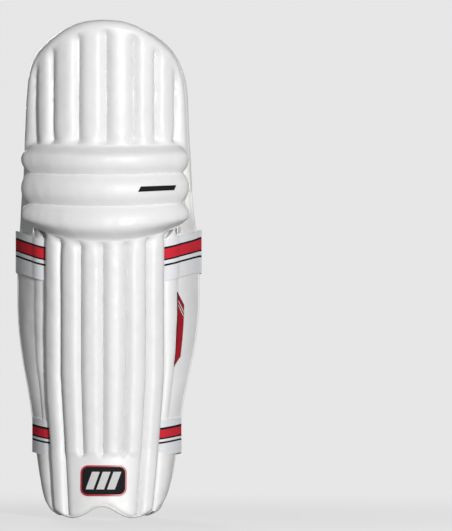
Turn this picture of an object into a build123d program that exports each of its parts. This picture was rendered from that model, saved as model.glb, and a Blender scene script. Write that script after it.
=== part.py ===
from build123d import *
import os
from math import atan2, cos, degrees, hypot, pi, radians, sin, sqrt, tan

# Cricket batting leg pad, adult size, worn on the shin and knee. Millimetres.
# +Z is up, -Y is the ribbed face that meets the ball, +Y is the side of the leg.
# +X is to the right of someone who looks at the ribbed face.
# The origin is the foot end of the channel that the leg lies in, on the channel's middle line.
# Every section below is drawn in "depth": 0 at the front of the ribs, growing towards the leg.

os.makedirs("parts", exist_ok=True)

# ---- overall ----
HEIGHT = 686.0
FRONT_Y = -80.0  # y of depth 0, which puts y = 0 halfway between the lining and the ankle strap
SIDES = {"left": -1, "right": 1}

# ---- shin shell: an upright arc with six ribs ----
SHIN_AXIS = 111.0  # depth of the arc's axis
SHIN_CROWN = 111.0  # radius at the top of a rib
SHIN_GROOVE = 101.0  # radius at the bottom of a groove
SHIN_HALF = 52.0  # half the arc, in degrees
SHIN_RIBS = 6

# ---- top hat shell: the same, with eight ribs ----
HAT_AXIS = 135.0
HAT_CROWN = 135.0
HAT_GROOVE = 125.0
HAT_HALF = 61.0
HAT_RIBS = 8

# ---- layers behind the grooves, from the outside in ----
SKIN = 1.2
BACKING = 6.0
LINING = 1.5
JOINT_GAP = 0.3
RIB_MARGIN = 0.9  # degrees of stitched skin each side of a groove
CANE_R = 3.5

# ---- heights ----
INSTEP_TOP = 84.0
RIB_TOP = 381.0
LOWER_FOLD = 430.0
UPPER_FOLD = 473.4
ROLLS_TOP = 508.7
CROWN_BAND = 12.0  # smooth band between the rib ends and the pad's top edge
INNER_FOOT = 34.0  # lower end of the side cushions on the leg side
CENTRE_FOOT = 122.0  # lower end of the centre cushion
INNER_TOP = 512.0

# ---- the instep kicks forward over the shoe ----
KICK_HEIGHT = 95.0
KICK = 16.0

# ---- knee rolls ----
ROLL_PROUD = 16.0  # how far a roll stands out past the ribs
ROLL_HALF = 49.6
ROLL_HALF_WIDTH = 115.0
ROLL_GAP = 0.4
ROLL_ROUND = 10.0
ROLL_END_ROUND = 19.0

# ---- knee folds ----
FOLD_AXIS = 40.0  # depth of both fold axes
FOLD_RANGE = 12.0  # degrees at each fold
FOLD_SPARE = 0.8  # degrees of extra clearance

# ---- calf wings ----
WING_ROOT = (83.5, 44.0)  # (x, depth) where the outer face leaves the shin
WING_EDGE = (128.0, 120.0)
WING_THICK = 12.0
WING_SKIN = 1.2
WING_TOP = 424.0
WING_FOOT = 12.0
# upper rear corner of a wing: (depth, height)
WING_SHOULDER = [(140.0, 386.0), (119.0, 388.0), (108.0, 402.0), (97.0, 418.0), (60.0, 424.0)]

# ---- edge roll, the padded rim round the leg side ----
RIM_R = 9.5
RIM_CLEAR = 0.35

# ---- cushions on the leg side ----
CUSHION = 17.0
CENTRE_HALF_WIDTH = 31.0
CENTRE_CUSHION = 9.0
CUSHION_GAP = 2.0

# ---- straps ----
WEB = 2.0
PATCH = 1.0
HINGE_GAP = 1.3
HINGE_GAP_FIXED = 1.9
RING_WIDTH = 23.0
RING_BAR = 7.0
RING_THICK = 3.2
RING_PROUD = 5.0
RING_ROUND = 9.0
PATCH_INSET = 4.0
# name: (middle height, width, rim centre (x, depth), end of each web at the back: fixed side,
#        free side, where the tab starts, where the tab ends)
STRAPS = {
    "knee": (349.3, 62.0, (114.5, 110.0), 112.0, 60.0, 62.0, 88.0),
    "ankle": (110.0, 53.5, (89.5, 77.0), 86.0, 42.0, 44.0, 70.0),
}
STRAP_ROOM = 0.5  # free space between a web and the wing under it

# ---- outline of the whole pad seen from the front: (half width, height) ----
LOBE = (39.0, 0.0)
NOTCH = (0.0, 12.5)
OUTLINE_STEPS = 60
SIDE_OUTLINE = [
    (62.0, 6.0),
    (84.5, 25.0),
    (89.0, 52.0),
    (93.4, 80.0),
    (99.5, 135.0),
    (108.5, 190.0),
    (120.2, 244.5),
    (126.0, 300.0),
    (125.0, 382.0),
    (118.8, 437.0),
    (114.7, 519.0),
    (112.6, 574.0),
    (109.3, 605.0),
    (102.5, 629.0),
    (84.8, 653.0),
    (56.0, 673.0),
    (23.0, 684.0),
]

# ---- centreline of the edge roll on the right side: (x, depth, height) ----
RIM_SHIN = [
    (110.8, 85.0, 445.0),
    (111.0, 86.0, 428.0),
    (112.5, 96.0, 408.0),
    (114.5, 110.0, 388.0),
    (114.5, 110.2, 352.0),
    (114.6, 110.0, 318.0),
    (113.8, 107.5, 278.0),
    (108.0, 97.0, 236.0),
    (99.0, 84.0, 196.0),
    (91.0, 77.6, 160.0),
    (89.5, 77.0, 136.0),
    (89.4, 77.0, 108.0),
    (88.6, 76.5, 80.0),
    (83.5, 72.5, 52.0),
    (77.0, 66.0, 29.0),
    (68.0, 62.0, 13.5),
    (56.0, 54.0, 9.6),
    (43.0, 45.5, 16.5),
    (29.0, 38.0, 33.5),
    (15.0, 33.0, 49.0),
    (0.0, 31.6, 54.5),
]
KNEE_RIM = (110.8, 85.0)  # (x, depth) of the straight length beside the knee
RIM_HAT = [
    (110.6, 85.5, 460.0),
    (109.4, 86.0, 490.0),
    (107.0, 86.0, 530.0),
    (103.0, 86.0, 574.0),
    (98.5, 85.0, 603.0),
    (91.0, 80.5, 626.0),
    (81.0, 69.0, 641.0),
    (67.0, 54.5, 653.5),
    (49.0, 42.0, 662.5),
    (26.0, 33.0, 668.0),
    (0.0, 30.0, 669.5),
]

OUT = {}


def at(x, depth):
    """A point of a section, from its side distance and its depth."""
    return (x, FRONT_Y + depth)


def polar(radius, angle, axis):
    """A point of a section, on an arc about the given axis depth."""
    return at(radius * sin(radians(angle)), axis - radius * cos(radians(angle)))


def keep(name, shape):
    OUT[name] = shape


def solids_of(shape):
    return Compound(children=list(shape.solids()))


# ---------------------------------------------------------------- sections


def ring(inner, outer, low, high, axis):
    """An arc-shaped band between two radii and two angles."""
    mid = (low + high) / 2
    return make_face(
        [
            ThreePointArc(polar(outer, low, axis), polar(outer, mid, axis), polar(outer, high, axis)),
            Line(polar(outer, high, axis), polar(inner, high, axis)),
            ThreePointArc(polar(inner, high, axis), polar(inner, mid, axis), polar(inner, low, axis)),
            Line(polar(inner, low, axis), polar(outer, low, axis)),
        ]
    )


def rib_angles(half, count):
    step = 2 * half / count
    return [(-half + i * step, -half + (i + 1) * step) for i in range(count)]


def ribbed(groove, crown, base, ribs, axis):
    """A shell section whose outside bulges once for each rib and whose inside is one arc."""
    low, high = ribs[0][0], ribs[-1][1]
    bumps = [
        ThreePointArc(polar(groove, a, axis), polar(crown, (a + b) / 2, axis), polar(groove, b, axis))
        for a, b in ribs
    ]
    back = ThreePointArc(
        polar(base, high, axis), polar(base, (low + high) / 2, axis), polar(base, low, axis)
    )
    return make_face(
        [
            *bumps,
            Line(polar(groove, high, axis), polar(base, high, axis)),
            back,
            Line(polar(base, low, axis), polar(groove, low, axis)),
        ]
    )


def rib_filling(base, crown, rib, axis):
    """The D-shaped filling of one rib."""
    a, b = rib[0] + RIB_MARGIN, rib[1] - RIB_MARGIN
    mid = (a + b) / 2
    return make_face(
        [
            ThreePointArc(polar(base, a, axis), polar(crown - SKIN, mid, axis), polar(base, b, axis)),
            ThreePointArc(polar(base, b, axis), polar(base, mid, axis), polar(base, a, axis)),
        ]
    )


def cane_hole(base, crown, rib, axis):
    """The round section of the cane in the middle of one rib."""
    middle = (base + crown - SKIN) / 2
    return Pos(*polar(middle, (rib[0] + rib[1]) / 2, axis)) * Circle(CANE_R)


# ---------------------------------------------------------------- solids from sections


def upright(section, low, high):
    return extrude(Pos(0, 0, low) * section, amount=high - low)


def kicked(section, low, high):
    """An upright prism that leans forward below KICK_HEIGHT, as the instep does."""
    lean = Vector(0, -KICK, -KICK_HEIGHT).normalized()
    below = extrude(Pos(0, 0, KICK_HEIGHT) * section, amount=hypot(KICK, KICK_HEIGHT), dir=lean)
    if high > KICK_HEIGHT:
        below = below + upright(section, KICK_HEIGHT, high)
    return below & slab(low, high)


def slab(low, high):
    span = 4 * HEIGHT
    return Pos(0, 0, (low + high) / 2) * Box(span, span, high - low)


def outline_face(inset):
    """The front outline, drawn in from its edge by a distance."""
    right = [Vector(x, z) for x, z in SIDE_OUTLINE]
    left = [Vector(-p.X, p.Y) for p in reversed(right)]
    around = Spline(Vector(*LOBE), *right, Vector(0, HEIGHT), *left, Vector(-LOBE[0], LOBE[1]))
    if inset:
        drawn_in = []
        for i in range(OUTLINE_STEPS + 1):
            along = around % (i / OUTLINE_STEPS)
            drawn_in.append(around @ (i / OUTLINE_STEPS) + Vector(-along.Y, along.X) * inset)
        around = Spline(*drawn_in)
    start, end = around @ 0, around @ 1
    peak = Vector(0, NOTCH[1] + inset)
    foot = [
        ThreePointArc(end, Vector(end.X / 2, end.Y + (peak.Y - end.Y) * 0.62), peak),
        ThreePointArc(peak, Vector(start.X / 2, start.Y + (peak.Y - start.Y) * 0.62), start),
    ]
    return make_face([around, *foot])


def through(face):
    """A face drawn as seen from the front, carried right through the pad."""
    return extrude(Plane.XZ * face, amount=3 * HEIGHT, both=True)


def fold_slope(y_from_axis, share):
    return y_from_axis * tan(radians((FOLD_RANGE + FOLD_SPARE) * share))


def above_fold(height):
    """Everything over a fold, cut back behind the fold's axis so that it can turn."""
    reach = 2 * HEIGHT
    axis_y = FRONT_Y + FOLD_AXIS
    face = make_face(
        Polyline(
            (-reach, height + ROLL_GAP),
            (axis_y, height + ROLL_GAP),
            (axis_y + reach, height + ROLL_GAP + fold_slope(reach, 0.5)),
            (axis_y + reach, height + 3 * reach),
            (-reach, height + 3 * reach),
            close=True,
        )
    )
    return extrude(Plane.YZ * face, amount=reach, both=True)


def below_fold(height):
    reach = 2 * HEIGHT
    axis_y = FRONT_Y + FOLD_AXIS
    face = make_face(
        Polyline(
            (-reach, height - ROLL_GAP),
            (axis_y, height - ROLL_GAP),
            (axis_y + reach, height - ROLL_GAP - fold_slope(reach, 0.5)),
            (axis_y + reach, height - 3 * reach),
            (-reach, height - 3 * reach),
            close=True,
        )
    )
    return extrude(Plane.YZ * face, amount=reach, both=True)


# ---------------------------------------------------------------- edge roll


def tube(points, radius):
    """A round tube along a route of straight runs joined by large arcs."""
    route = [Vector(x, FRONT_Y + depth - kick_at(z), z) for x, depth, z in points]
    radii = []
    for before, here, after in zip(route, route[1:], route[2:]):
        turn = (here - before).get_angle(after - here)
        run = min((here - before).length, (after - here).length)
        radii.append(0.45 * run / tan(radians(turn / 2)))
    path = FilletPolyline(*route, radius=radii)
    start = Plane(origin=path @ 0, z_dir=path % 0)
    return sweep(start * Circle(radius), path=path)


def kick_at(z):
    return max(0.0, KICK * (KICK_HEIGHT - z) / KICK_HEIGHT)


def both_sides(points):
    """A route that runs down one side and back up the other."""
    return points + [(-x, depth, z) for x, depth, z in reversed(points[:-1])]


SHIN_ZONE = below_fold(LOWER_FOLD)
KNEE_ZONE = above_fold(LOWER_FOLD) & below_fold(UPPER_FOLD)
HAT_ZONE = above_fold(UPPER_FOLD)
OUTLINE = through(outline_face(0))
CROWN_LIMIT = through(outline_face(CROWN_BAND))

rim_shin_route = both_sides(RIM_SHIN)
rim_hat_route = both_sides(RIM_HAT)
rim_knee_routes = [
    [(side * KNEE_RIM[0], KNEE_RIM[1], height) for height in (LOWER_FOLD - 12, UPPER_FOLD + 12)]
    for side in SIDES.values()
]


def straight_tube(ends, radius):
    (x, depth, low), (_, _, high) = ends
    return upright(Pos(*at(x, depth)) * Circle(radius), low, high)


keep("edge_roll_shin", tube(rim_shin_route, RIM_R) & SHIN_ZONE)
keep("edge_roll_top_hat", tube(rim_hat_route, RIM_R) & HAT_ZONE)
keep(
    "edge_roll_knee",
    solids_of(Compound(children=[straight_tube(r, RIM_R) & KNEE_ZONE for r in rim_knee_routes])),
)
RIM_ROOM_SHIN = tube(rim_shin_route, RIM_R + RIM_CLEAR)
RIM_ROOM_HAT = tube(rim_hat_route, RIM_R + RIM_CLEAR)
RIM_ROOM_KNEE = [straight_tube(r, RIM_R + RIM_CLEAR) for r in rim_knee_routes]


def clear_of_rim(shape, *rooms):
    for room in rooms:
        shape = shape - room
    return shape


# ---------------------------------------------------------------- shin shell

shin_ribs = rib_angles(SHIN_HALF, SHIN_RIBS)
SHIN_BASE = SHIN_GROOVE - SKIN
OUTER_RIBS = (shin_ribs[0], shin_ribs[-1])
INSTEP_HALF = shin_ribs[-1][0]

shin_section = ribbed(SHIN_GROOVE, SHIN_CROWN, SHIN_BASE, shin_ribs, SHIN_AXIS)
instep_slot = ring(SHIN_BASE, SHIN_CROWN + 2, -INSTEP_HALF, INSTEP_HALF, SHIN_AXIS)
shin_shell = kicked(shin_section, 0, RIB_TOP) - kicked(instep_slot, 0, INSTEP_TOP)
shin_shell = clear_of_rim(shin_shell & OUTLINE, RIM_ROOM_SHIN)

rib_floor = through(outline_face(5))
canes = []
for number, rib in enumerate(shin_ribs, 1):
    low = 0 if rib in OUTER_RIBS else INSTEP_TOP + 3
    filling = kicked(rib_filling(SHIN_BASE + SKIN, SHIN_CROWN, rib, SHIN_AXIS), low, RIB_TOP - 4)
    cane = upright(cane_hole(SHIN_BASE + SKIN, SHIN_CROWN, rib, SHIN_AXIS), KICK_HEIGHT + 4, RIB_TOP - 12)
    filling = clear_of_rim(filling & rib_floor, RIM_ROOM_SHIN)
    shin_shell = shin_shell - filling
    canes.append(cane)
    keep(f"shin_rib_filling_{number}", filling - cane)
keep("shin_cover", shin_shell)
keep("shin_cane_rods", solids_of(Compound(children=canes)))

knee_backing = ring(HAT_GROOVE - SKIN - BACKING, HAT_GROOVE - SKIN, -HAT_HALF, HAT_HALF, HAT_AXIS)
knee_lining = ring(
    HAT_GROOVE - SKIN - BACKING - LINING, HAT_GROOVE - SKIN - BACKING, -HAT_HALF, HAT_HALF, HAT_AXIS
)
shin_backing = ring(SHIN_BASE - BACKING, SHIN_BASE, -SHIN_HALF, SHIN_HALF, SHIN_AXIS)
shin_lining = ring(SHIN_BASE - BACKING - LINING, SHIN_BASE - BACKING, -SHIN_HALF, SHIN_HALF, SHIN_AXIS)


def shin_layer(low_section, high_section):
    """One layer of the shell: the shin's arc below the knee rolls and the wider arc behind them."""
    below_rolls = kicked(low_section, 0, RIB_TOP) & OUTLINE
    behind_rolls = upright(high_section, RIB_TOP, LOWER_FOLD) & SHIN_ZONE
    return clear_of_rim(below_rolls + behind_rolls, RIM_ROOM_SHIN)


keep("shin_backing", shin_layer(shin_backing, knee_backing))
keep("shin_lining", shin_layer(shin_lining, knee_lining))

# ---------------------------------------------------------------- instep pad and badge

INSTEP_CROWN = SHIN_CROWN + 1.0
instep_outer = ring(SHIN_BASE, INSTEP_CROWN, -INSTEP_HALF, INSTEP_HALF, SHIN_AXIS)
instep_inner = ring(SHIN_BASE + SKIN, INSTEP_CROWN - SKIN, -INSTEP_HALF + 1, INSTEP_HALF - 1, SHIN_AXIS)
instep_filling = kicked(instep_inner, 0, INSTEP_TOP - SKIN) & through(outline_face(4))
instep_filling = clear_of_rim(instep_filling, RIM_ROOM_SHIN)
instep_cover = clear_of_rim(kicked(instep_outer, 0, INSTEP_TOP) & OUTLINE, RIM_ROOM_SHIN)
keep("instep_filling", instep_filling)
keep("instep_cover", instep_cover - instep_filling)

BADGE_MIDDLE = 54.0
BADGE_SIZE = (63.0, 40.0)
BADGE_THICK = 1.6
badge_section = ring(INSTEP_CROWN, INSTEP_CROWN + BADGE_THICK, -INSTEP_HALF, INSTEP_HALF, SHIN_AXIS)
badge_shape = Pos(0.5, BADGE_MIDDLE) * RectangleRounded(*BADGE_SIZE, 9)
keep("instep_badge", kicked(badge_section, 0, INSTEP_TOP) & through(badge_shape))

# ---------------------------------------------------------------- calf wings

wing_length = hypot(WING_EDGE[0] - WING_ROOT[0], WING_EDGE[1] - WING_ROOT[1])
wing_along = ((WING_EDGE[0] - WING_ROOT[0]) / wing_length, (WING_EDGE[1] - WING_ROOT[1]) / wing_length)
wing_inward = (-wing_along[1], wing_along[0])


def wing_point(side, along, inward):
    return at(
        side * (WING_ROOT[0] + wing_along[0] * along + wing_inward[0] * inward),
        WING_ROOT[1] + wing_along[1] * along + wing_inward[1] * inward,
    )


def wing_band(side, start, end, outer, inner):
    return make_face(
        Polyline(
            wing_point(side, start, outer),
            wing_point(side, end, outer),
            wing_point(side, end, inner),
            wing_point(side, start, inner),
            close=True,
        )
    )


ROOM = 0.3  # degrees kept free beside each shell
shin_room_section = ring(60, SHIN_CROWN + 4, -SHIN_HALF - ROOM, SHIN_HALF + ROOM, SHIN_AXIS)
knee_room_section = ring(90, HAT_CROWN + 20, -HAT_HALF - ROOM, HAT_HALF + ROOM, HAT_AXIS)
shin_room = upright(shin_room_section, -1, RIB_TOP)
shin_room_low = kicked(shin_room_section, 0, KICK_HEIGHT)
knee_room = upright(knee_room_section, RIB_TOP - 0.5, HEIGHT)

shoulder_back = [(FRONT_Y + depth, height) for depth, height in WING_SHOULDER]
shoulder_face = make_face(
    Polyline(
        (-HEIGHT, -HEIGHT),
        (HEIGHT, -HEIGHT),
        (HEIGHT, WING_SHOULDER[0][1]),
        *shoulder_back,
        (-HEIGHT, WING_TOP),
        close=True,
    )
)
SHOULDER = extrude(Plane.YZ * shoulder_face, amount=HEIGHT, both=True)


def wing_solid(side, start, end, outer, inner, low, high, limit):
    """A slanted panel, ended by the pad's outline and by the shell it is sewn to."""
    band = wing_band(side, start, end, outer, inner)
    panel = kicked(band, low, high) & limit & SHOULDER
    for room in (shin_room, shin_room_low, knee_room):
        panel = panel - room
    return clear_of_rim(panel, RIM_ROOM_SHIN)


def touch_point(centre, radius, start):
    """Where a straight web from start meets the round of the edge roll, going round its outside."""
    dx, dy = start[0] - centre[0], start[1] - centre[1]
    distance = hypot(dx, dy)
    angle = atan2(dy, dx) + atan2(sqrt(distance**2 - radius**2), radius)
    return (centre[0] + radius * cos(angle), centre[1] + radius * sin(angle))


def web_route(centre, radius, root, end_x):
    """The route of a side web: over the wing, round the edge roll, then across the back."""
    meet = touch_point(centre, radius, root)
    angle = (atan2(meet[1] - centre[1], meet[0] - centre[0]) + pi / 2) / 2
    bend = (centre[0] + radius * cos(angle), centre[1] + radius * sin(angle))
    return root, meet, bend, (centre[0], centre[1] + radius), (end_x, centre[1] + radius)


WEB_RADIUS = RIM_R + WEB / 2 + RIM_CLEAR + 0.3
WEB_ROOT = (WING_ROOT[0] + 1.9, WING_ROOT[1] - 0.2)


def side_web(side, middle, width, centre, end_x):
    """The web sewn in under the outer rib, laid over the wing and round the edge roll."""
    points = [at(side * x, depth) for x, depth in web_route(centre, WEB_RADIUS, WEB_ROOT, end_x)]
    route = Wire([Line(points[0], points[1]), ThreePointArc(*points[1:4]), Line(points[3], points[4])])
    return upright(trace(route, line_width=WEB), middle - width / 2, middle + width / 2)


def beyond_web(side, middle, width, centre):
    """The web and all that lies outside it, which the wing's edge keeps clear of."""
    away = WEB / 2 + STRAP_ROOM
    root = (WEB_ROOT[0] - away * wing_along[1], WEB_ROOT[1] + away * wing_along[0])
    points = [at(side * x, depth) for x, depth in web_route(centre, WEB_RADIUS - away, root, 0)]
    within = make_face(
        [
            Line(points[0], points[1]),
            ThreePointArc(*points[1:4]),
            Polyline(points[3], points[4], at(0, root[1]), points[0]),
        ]
    )
    room = Pos(*at(side * HEIGHT / 2, root[1])) * Rectangle(HEIGHT, HEIGHT) - within
    return upright(room, middle - width / 2 - STRAP_ROOM, middle + width / 2 + STRAP_ROOM)


wing_fillings = []
core_limit = through(outline_face(14))
for label, side in SIDES.items():
    skin_in = WING_THICK - WING_SKIN
    core = wing_solid(side, 3, 84, WING_SKIN, skin_in, WING_FOOT + 18, WING_TOP - 20, core_limit)
    panel = wing_solid(side, -2, 88, 0, WING_THICK, WING_FOOT, WING_TOP, through(outline_face(4)))
    for middle, width, centre, *_ in STRAPS.values():
        panel = panel - beyond_web(side, middle, width, centre)
    filling = (core & panel).solids().sort_by(SortBy.VOLUME)[-1]
    wing_fillings.append(filling)
    keep(f"wing_cover_{label}", (panel - filling).solids().sort_by(SortBy.VOLUME)[-1])
keep("wing_fillings", Compound(children=wing_fillings))

LABEL_THICK = 0.8
LABEL_LOW, LABEL_HIGH = 212.0, 305.0
label_band = wing_band(1, 25, 36, -LABEL_THICK, 0)
label_face = make_face(
    Polyline(
        (60, LABEL_LOW - 9),
        (140, LABEL_LOW + 22),
        (140, LABEL_HIGH - 22),
        (60, LABEL_HIGH + 22),
        close=True,
    )
)
keep("wing_label", upright(label_band, LABEL_LOW - 20, LABEL_HIGH + 20) & through(label_face))

# ---------------------------------------------------------------- knee rolls

ROLL_OUT = HAT_CROWN + ROLL_PROUD
ROLL_IN = HAT_GROOVE - SKIN


def roll_solid(low, high, inset):
    """A bolster bent round the knee, with rounded edges and rounded ends."""
    inner, outer = ROLL_IN + inset, ROLL_OUT - inset
    height = high - low - 2 * inset
    profile = Pos((inner + outer) / 2, 0) * RectangleRounded(outer - inner, height, ROLL_ROUND)
    middle = (low + high) / 2
    start = Plane(origin=(0, FRONT_Y + HAT_AXIS, middle), x_dir=(0, -1, 0), z_dir=(-1, 0, 0)) * profile
    knee_axes = [Axis((0, FRONT_Y + HAT_AXIS, 0), (0, 0, way)) for way in (1, -1)]
    bent = [revolve(start, axis=axis, revolution_arc=ROLL_HALF) for axis in knee_axes]
    ends = RectangleRounded(2 * (ROLL_HALF_WIDTH - inset), height, min(ROLL_END_ROUND, height / 2 - 0.5))
    return (bent[0] + bent[1]) & through(Pos(0, middle) * ends)


ROLLS = {
    "lower": (RIB_TOP + ROLL_GAP, LOWER_FOLD - ROLL_GAP, SHIN_ZONE),
    "middle": (LOWER_FOLD + ROLL_GAP, UPPER_FOLD - ROLL_GAP, KNEE_ZONE),
    "upper": (UPPER_FOLD + ROLL_GAP, ROLLS_TOP, HAT_ZONE),
}
for label, (low, high, zone) in ROLLS.items():
    core = roll_solid(low, high, SKIN + 0.3) & zone
    keep(f"knee_roll_{label}_filling", core)
    keep(f"knee_roll_{label}_cover", (roll_solid(low, high, 0) & zone) - core)

ROLL_MARK = (50.0, 9.0)
mark_section = ring(ROLL_OUT, ROLL_OUT + 0.8, 8, 44, HAT_AXIS)
mark_shape = Pos(74.0, 452.0) * RectangleRounded(*ROLL_MARK, 2)
keep("knee_roll_mark", upright(mark_section, LOWER_FOLD + 2, UPPER_FOLD - 2) & through(mark_shape))

# ---------------------------------------------------------------- knee layers

for label, section in (("backing", knee_backing), ("lining", knee_lining)):
    knee_part = upright(section, LOWER_FOLD, UPPER_FOLD) & KNEE_ZONE
    keep(f"knee_{label}", clear_of_rim(knee_part, *RIM_ROOM_KNEE))
    hat_part = upright(section, UPPER_FOLD, HEIGHT) & HAT_ZONE & through(outline_face(1.5))
    keep(f"top_hat_{label}", clear_of_rim(hat_part, RIM_ROOM_HAT))

# ---------------------------------------------------------------- top hat shell

hat_ribs = rib_angles(HAT_HALF, HAT_RIBS)
HAT_BASE = HAT_GROOVE - SKIN
hat_shell = upright(ribbed(HAT_GROOVE, HAT_CROWN, HAT_BASE, hat_ribs, HAT_AXIS), ROLLS_TOP, HEIGHT)
hat_shell = clear_of_rim(hat_shell & OUTLINE & HAT_ZONE, RIM_ROOM_HAT)
hat_canes = []
for number, rib in enumerate(hat_ribs, 1):
    section = rib_filling(HAT_BASE + SKIN, HAT_CROWN, rib, HAT_AXIS)
    filling = upright(section, ROLLS_TOP + 2, HEIGHT) & CROWN_LIMIT
    filling = clear_of_rim(filling, RIM_ROOM_HAT).solids().sort_by(SortBy.VOLUME)[-1]
    top = filling.bounding_box().max.Z
    lowest_end = min(0.62 * (top - ROLLS_TOP), top - ROLLS_TOP - 30)
    hole = cane_hole(HAT_BASE + SKIN, HAT_CROWN, rib, HAT_AXIS)
    cane = upright(hole, ROLLS_TOP + 8, ROLLS_TOP + lowest_end)
    hat_shell = hat_shell - filling
    hat_canes.append(cane & filling)
    keep(f"top_hat_rib_filling_{number}", filling - cane)
keep("top_hat_cover", hat_shell)
keep("top_hat_cane_rods", solids_of(Compound(children=hat_canes)))

# ---------------------------------------------------------------- cushions on the leg side

SHIN_INSIDE = SHIN_BASE - BACKING - LINING
HAT_INSIDE = HAT_GROOVE - SKIN - BACKING - LINING


def side_cushion(side, inside, axis, reach, edge):
    """The section of a side cushion: along the lining's arc, then along the wing."""
    near = side * degrees(atan2(CENTRE_HALF_WIDTH + CUSHION_GAP, inside))
    far = side * reach
    mid = (near + far) / 2
    return make_face(
        [
            ThreePointArc(polar(inside, near, axis), polar(inside, mid, axis), polar(inside, far, axis)),
            Line(polar(inside, far, axis), at(side * edge[0], edge[1])),
            ThreePointArc(
                at(side * edge[0], edge[1]),
                polar(inside - CUSHION, (mid + far) / 2, axis),
                polar(inside - CUSHION, near * 1.22, axis),
            ),
            Line(polar(inside - CUSHION, near * 1.22, axis), polar(inside, near, axis)),
        ]
    )


def centre_cushion(inside, axis):
    half = degrees(atan2(CENTRE_HALF_WIDTH, inside))
    return ring(inside - CENTRE_CUSHION, inside, -half, half, axis)


def cushion_pieces(section_low, section_high, foot):
    """The same cushion on each side of the two knee folds."""
    low = kicked(section_low, foot, RIB_TOP)
    low = low + (upright(section_high, RIB_TOP, LOWER_FOLD) & SHIN_ZONE)
    knee = upright(section_high, LOWER_FOLD, UPPER_FOLD) & KNEE_ZONE
    hat = upright(section_high, UPPER_FOLD, INNER_TOP) & HAT_ZONE
    return (
        clear_of_rim(low, RIM_ROOM_SHIN),
        clear_of_rim(knee, *RIM_ROOM_KNEE),
        clear_of_rim(hat, RIM_ROOM_HAT),
    )


knee_cushions, hat_cushions = [], []
wing_inside = [
    wing_solid(side, -10, 96, -2, WING_THICK + JOINT_GAP, 0, WING_TOP, OUTLINE) for side in SIDES.values()
]
for label, side in SIDES.items():
    low, knee, hat = cushion_pieces(
        side_cushion(side, SHIN_INSIDE, SHIN_AXIS, SHIN_HALF - 1, (76.0, 66.0)),
        side_cushion(side, HAT_INSIDE, HAT_AXIS, HAT_HALF - 12, (82.0, 69.0)),
        INNER_FOOT,
    )
    for wing in wing_inside:
        low = low - wing
    keep(f"inner_cushion_{label}", low.solids().sort_by(SortBy.VOLUME)[-1])
    knee_cushions.append(knee.solids().sort_by(SortBy.VOLUME)[-1])
    hat_cushions.append(hat.solids().sort_by(SortBy.VOLUME)[-1])
low, knee, hat = cushion_pieces(
    centre_cushion(SHIN_INSIDE, SHIN_AXIS), centre_cushion(HAT_INSIDE, HAT_AXIS), CENTRE_FOOT
)
keep("inner_cushion_centre", low.solids().sort_by(SortBy.VOLUME)[-1])
knee_cushions.append(knee.solids()[0])
hat_cushions.append(hat.solids()[0])
keep("inner_cushions_knee", Compound(children=knee_cushions))
keep("inner_cushions_top_hat", Compound(children=hat_cushions))

PRINT_LOW, PRINT_HIGH = INNER_TOP + 2, 608.0
PRINT_HALF = 52.0
print_section = ring(HAT_INSIDE - 0.5, HAT_INSIDE, -PRINT_HALF, PRINT_HALF, HAT_AXIS)
lining_print = upright(print_section, PRINT_LOW, PRINT_HIGH)
keep("top_hat_print", clear_of_rim(lining_print, RIM_ROOM_HAT).solids().sort_by(SortBy.VOLUME)[-1])

# ---------------------------------------------------------------- straps


def flat_band(ends, thick, middle, width):
    """A flat strip of webbing between two points of a section."""
    strip = trace(Line(at(*ends[0]), at(*ends[1])), line_width=thick)
    return upright(strip, middle - width / 2, middle + width / 2)


loop_patches = []
for label, (middle, width, centre, fixed_end, free_end, tab_start, tab_end) in STRAPS.items():
    rear = centre[1] + WEB_RADIUS
    right_web = side_web(1, middle, width, centre, fixed_end + HINGE_GAP_FIXED)
    left_web = side_web(-1, middle, width, centre, free_end)
    keep(f"{label}_strap_side_web_right", right_web)
    keep(f"{label}_strap_side_web_left", left_web)
    patch_width = width - 2 * PATCH_INSET
    face = rear + WEB / 2
    loop_ends = ((-tab_end + 4, face + PATCH / 2), (-tab_start - 3, face + PATCH / 2))
    loop_patches.append(flat_band(loop_ends, PATCH, middle, patch_width))
    hook_depth = face + PATCH + JOINT_GAP + PATCH / 2
    hook = flat_band(((-tab_end + 6, hook_depth), (-tab_start - 4, hook_depth)), PATCH, middle, patch_width)
    keep(f"{label}_strap_hook_patch", hook)
    tab_depth = hook_depth + PATCH / 2 + WEB / 2
    tab_ends = ((-tab_end + 2, tab_depth), (-tab_start - HINGE_GAP_FIXED, tab_depth))
    tab = flat_band(tab_ends, WEB, middle, width)
    ring_height = width + 2 * RING_PROUD
    hoop = RectangleRounded(RING_WIDTH, ring_height, RING_ROUND) - RectangleRounded(
        RING_WIDTH - 2 * RING_BAR, ring_height - 2 * RING_BAR, RING_ROUND - RING_BAR
    )
    hoop_middle = Pos(-tab_end + RING_BAR - 1 - RING_WIDTH / 2, middle)
    hoop = extrude(Plane.XZ * hoop_middle * hoop, amount=RING_THICK / 2, both=True)
    hoop = Pos(0, FRONT_Y + tab_depth, 0) * hoop
    keep(f"{label}_strap_tab", tab)
    keep(f"{label}_strap_end_ring", hoop - tab - hook)
    bend = Polyline(
        at(fixed_end - HINGE_GAP, rear),
        at(-free_end * 0.5, tab_depth),
        at(-tab_start + HINGE_GAP, tab_depth),
    )
    strap = trace(bend, line_width=WEB)
    keep(f"{label}_strap", upright(strap, middle - width / 2, middle + width / 2))
    print(label, "strap hinge at", at(fixed_end, rear), "tab hinge at", at(-tab_start, tab_depth))
keep("strap_loop_patches", Compound(children=loop_patches))

# ---------------------------------------------------------------- write

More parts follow.
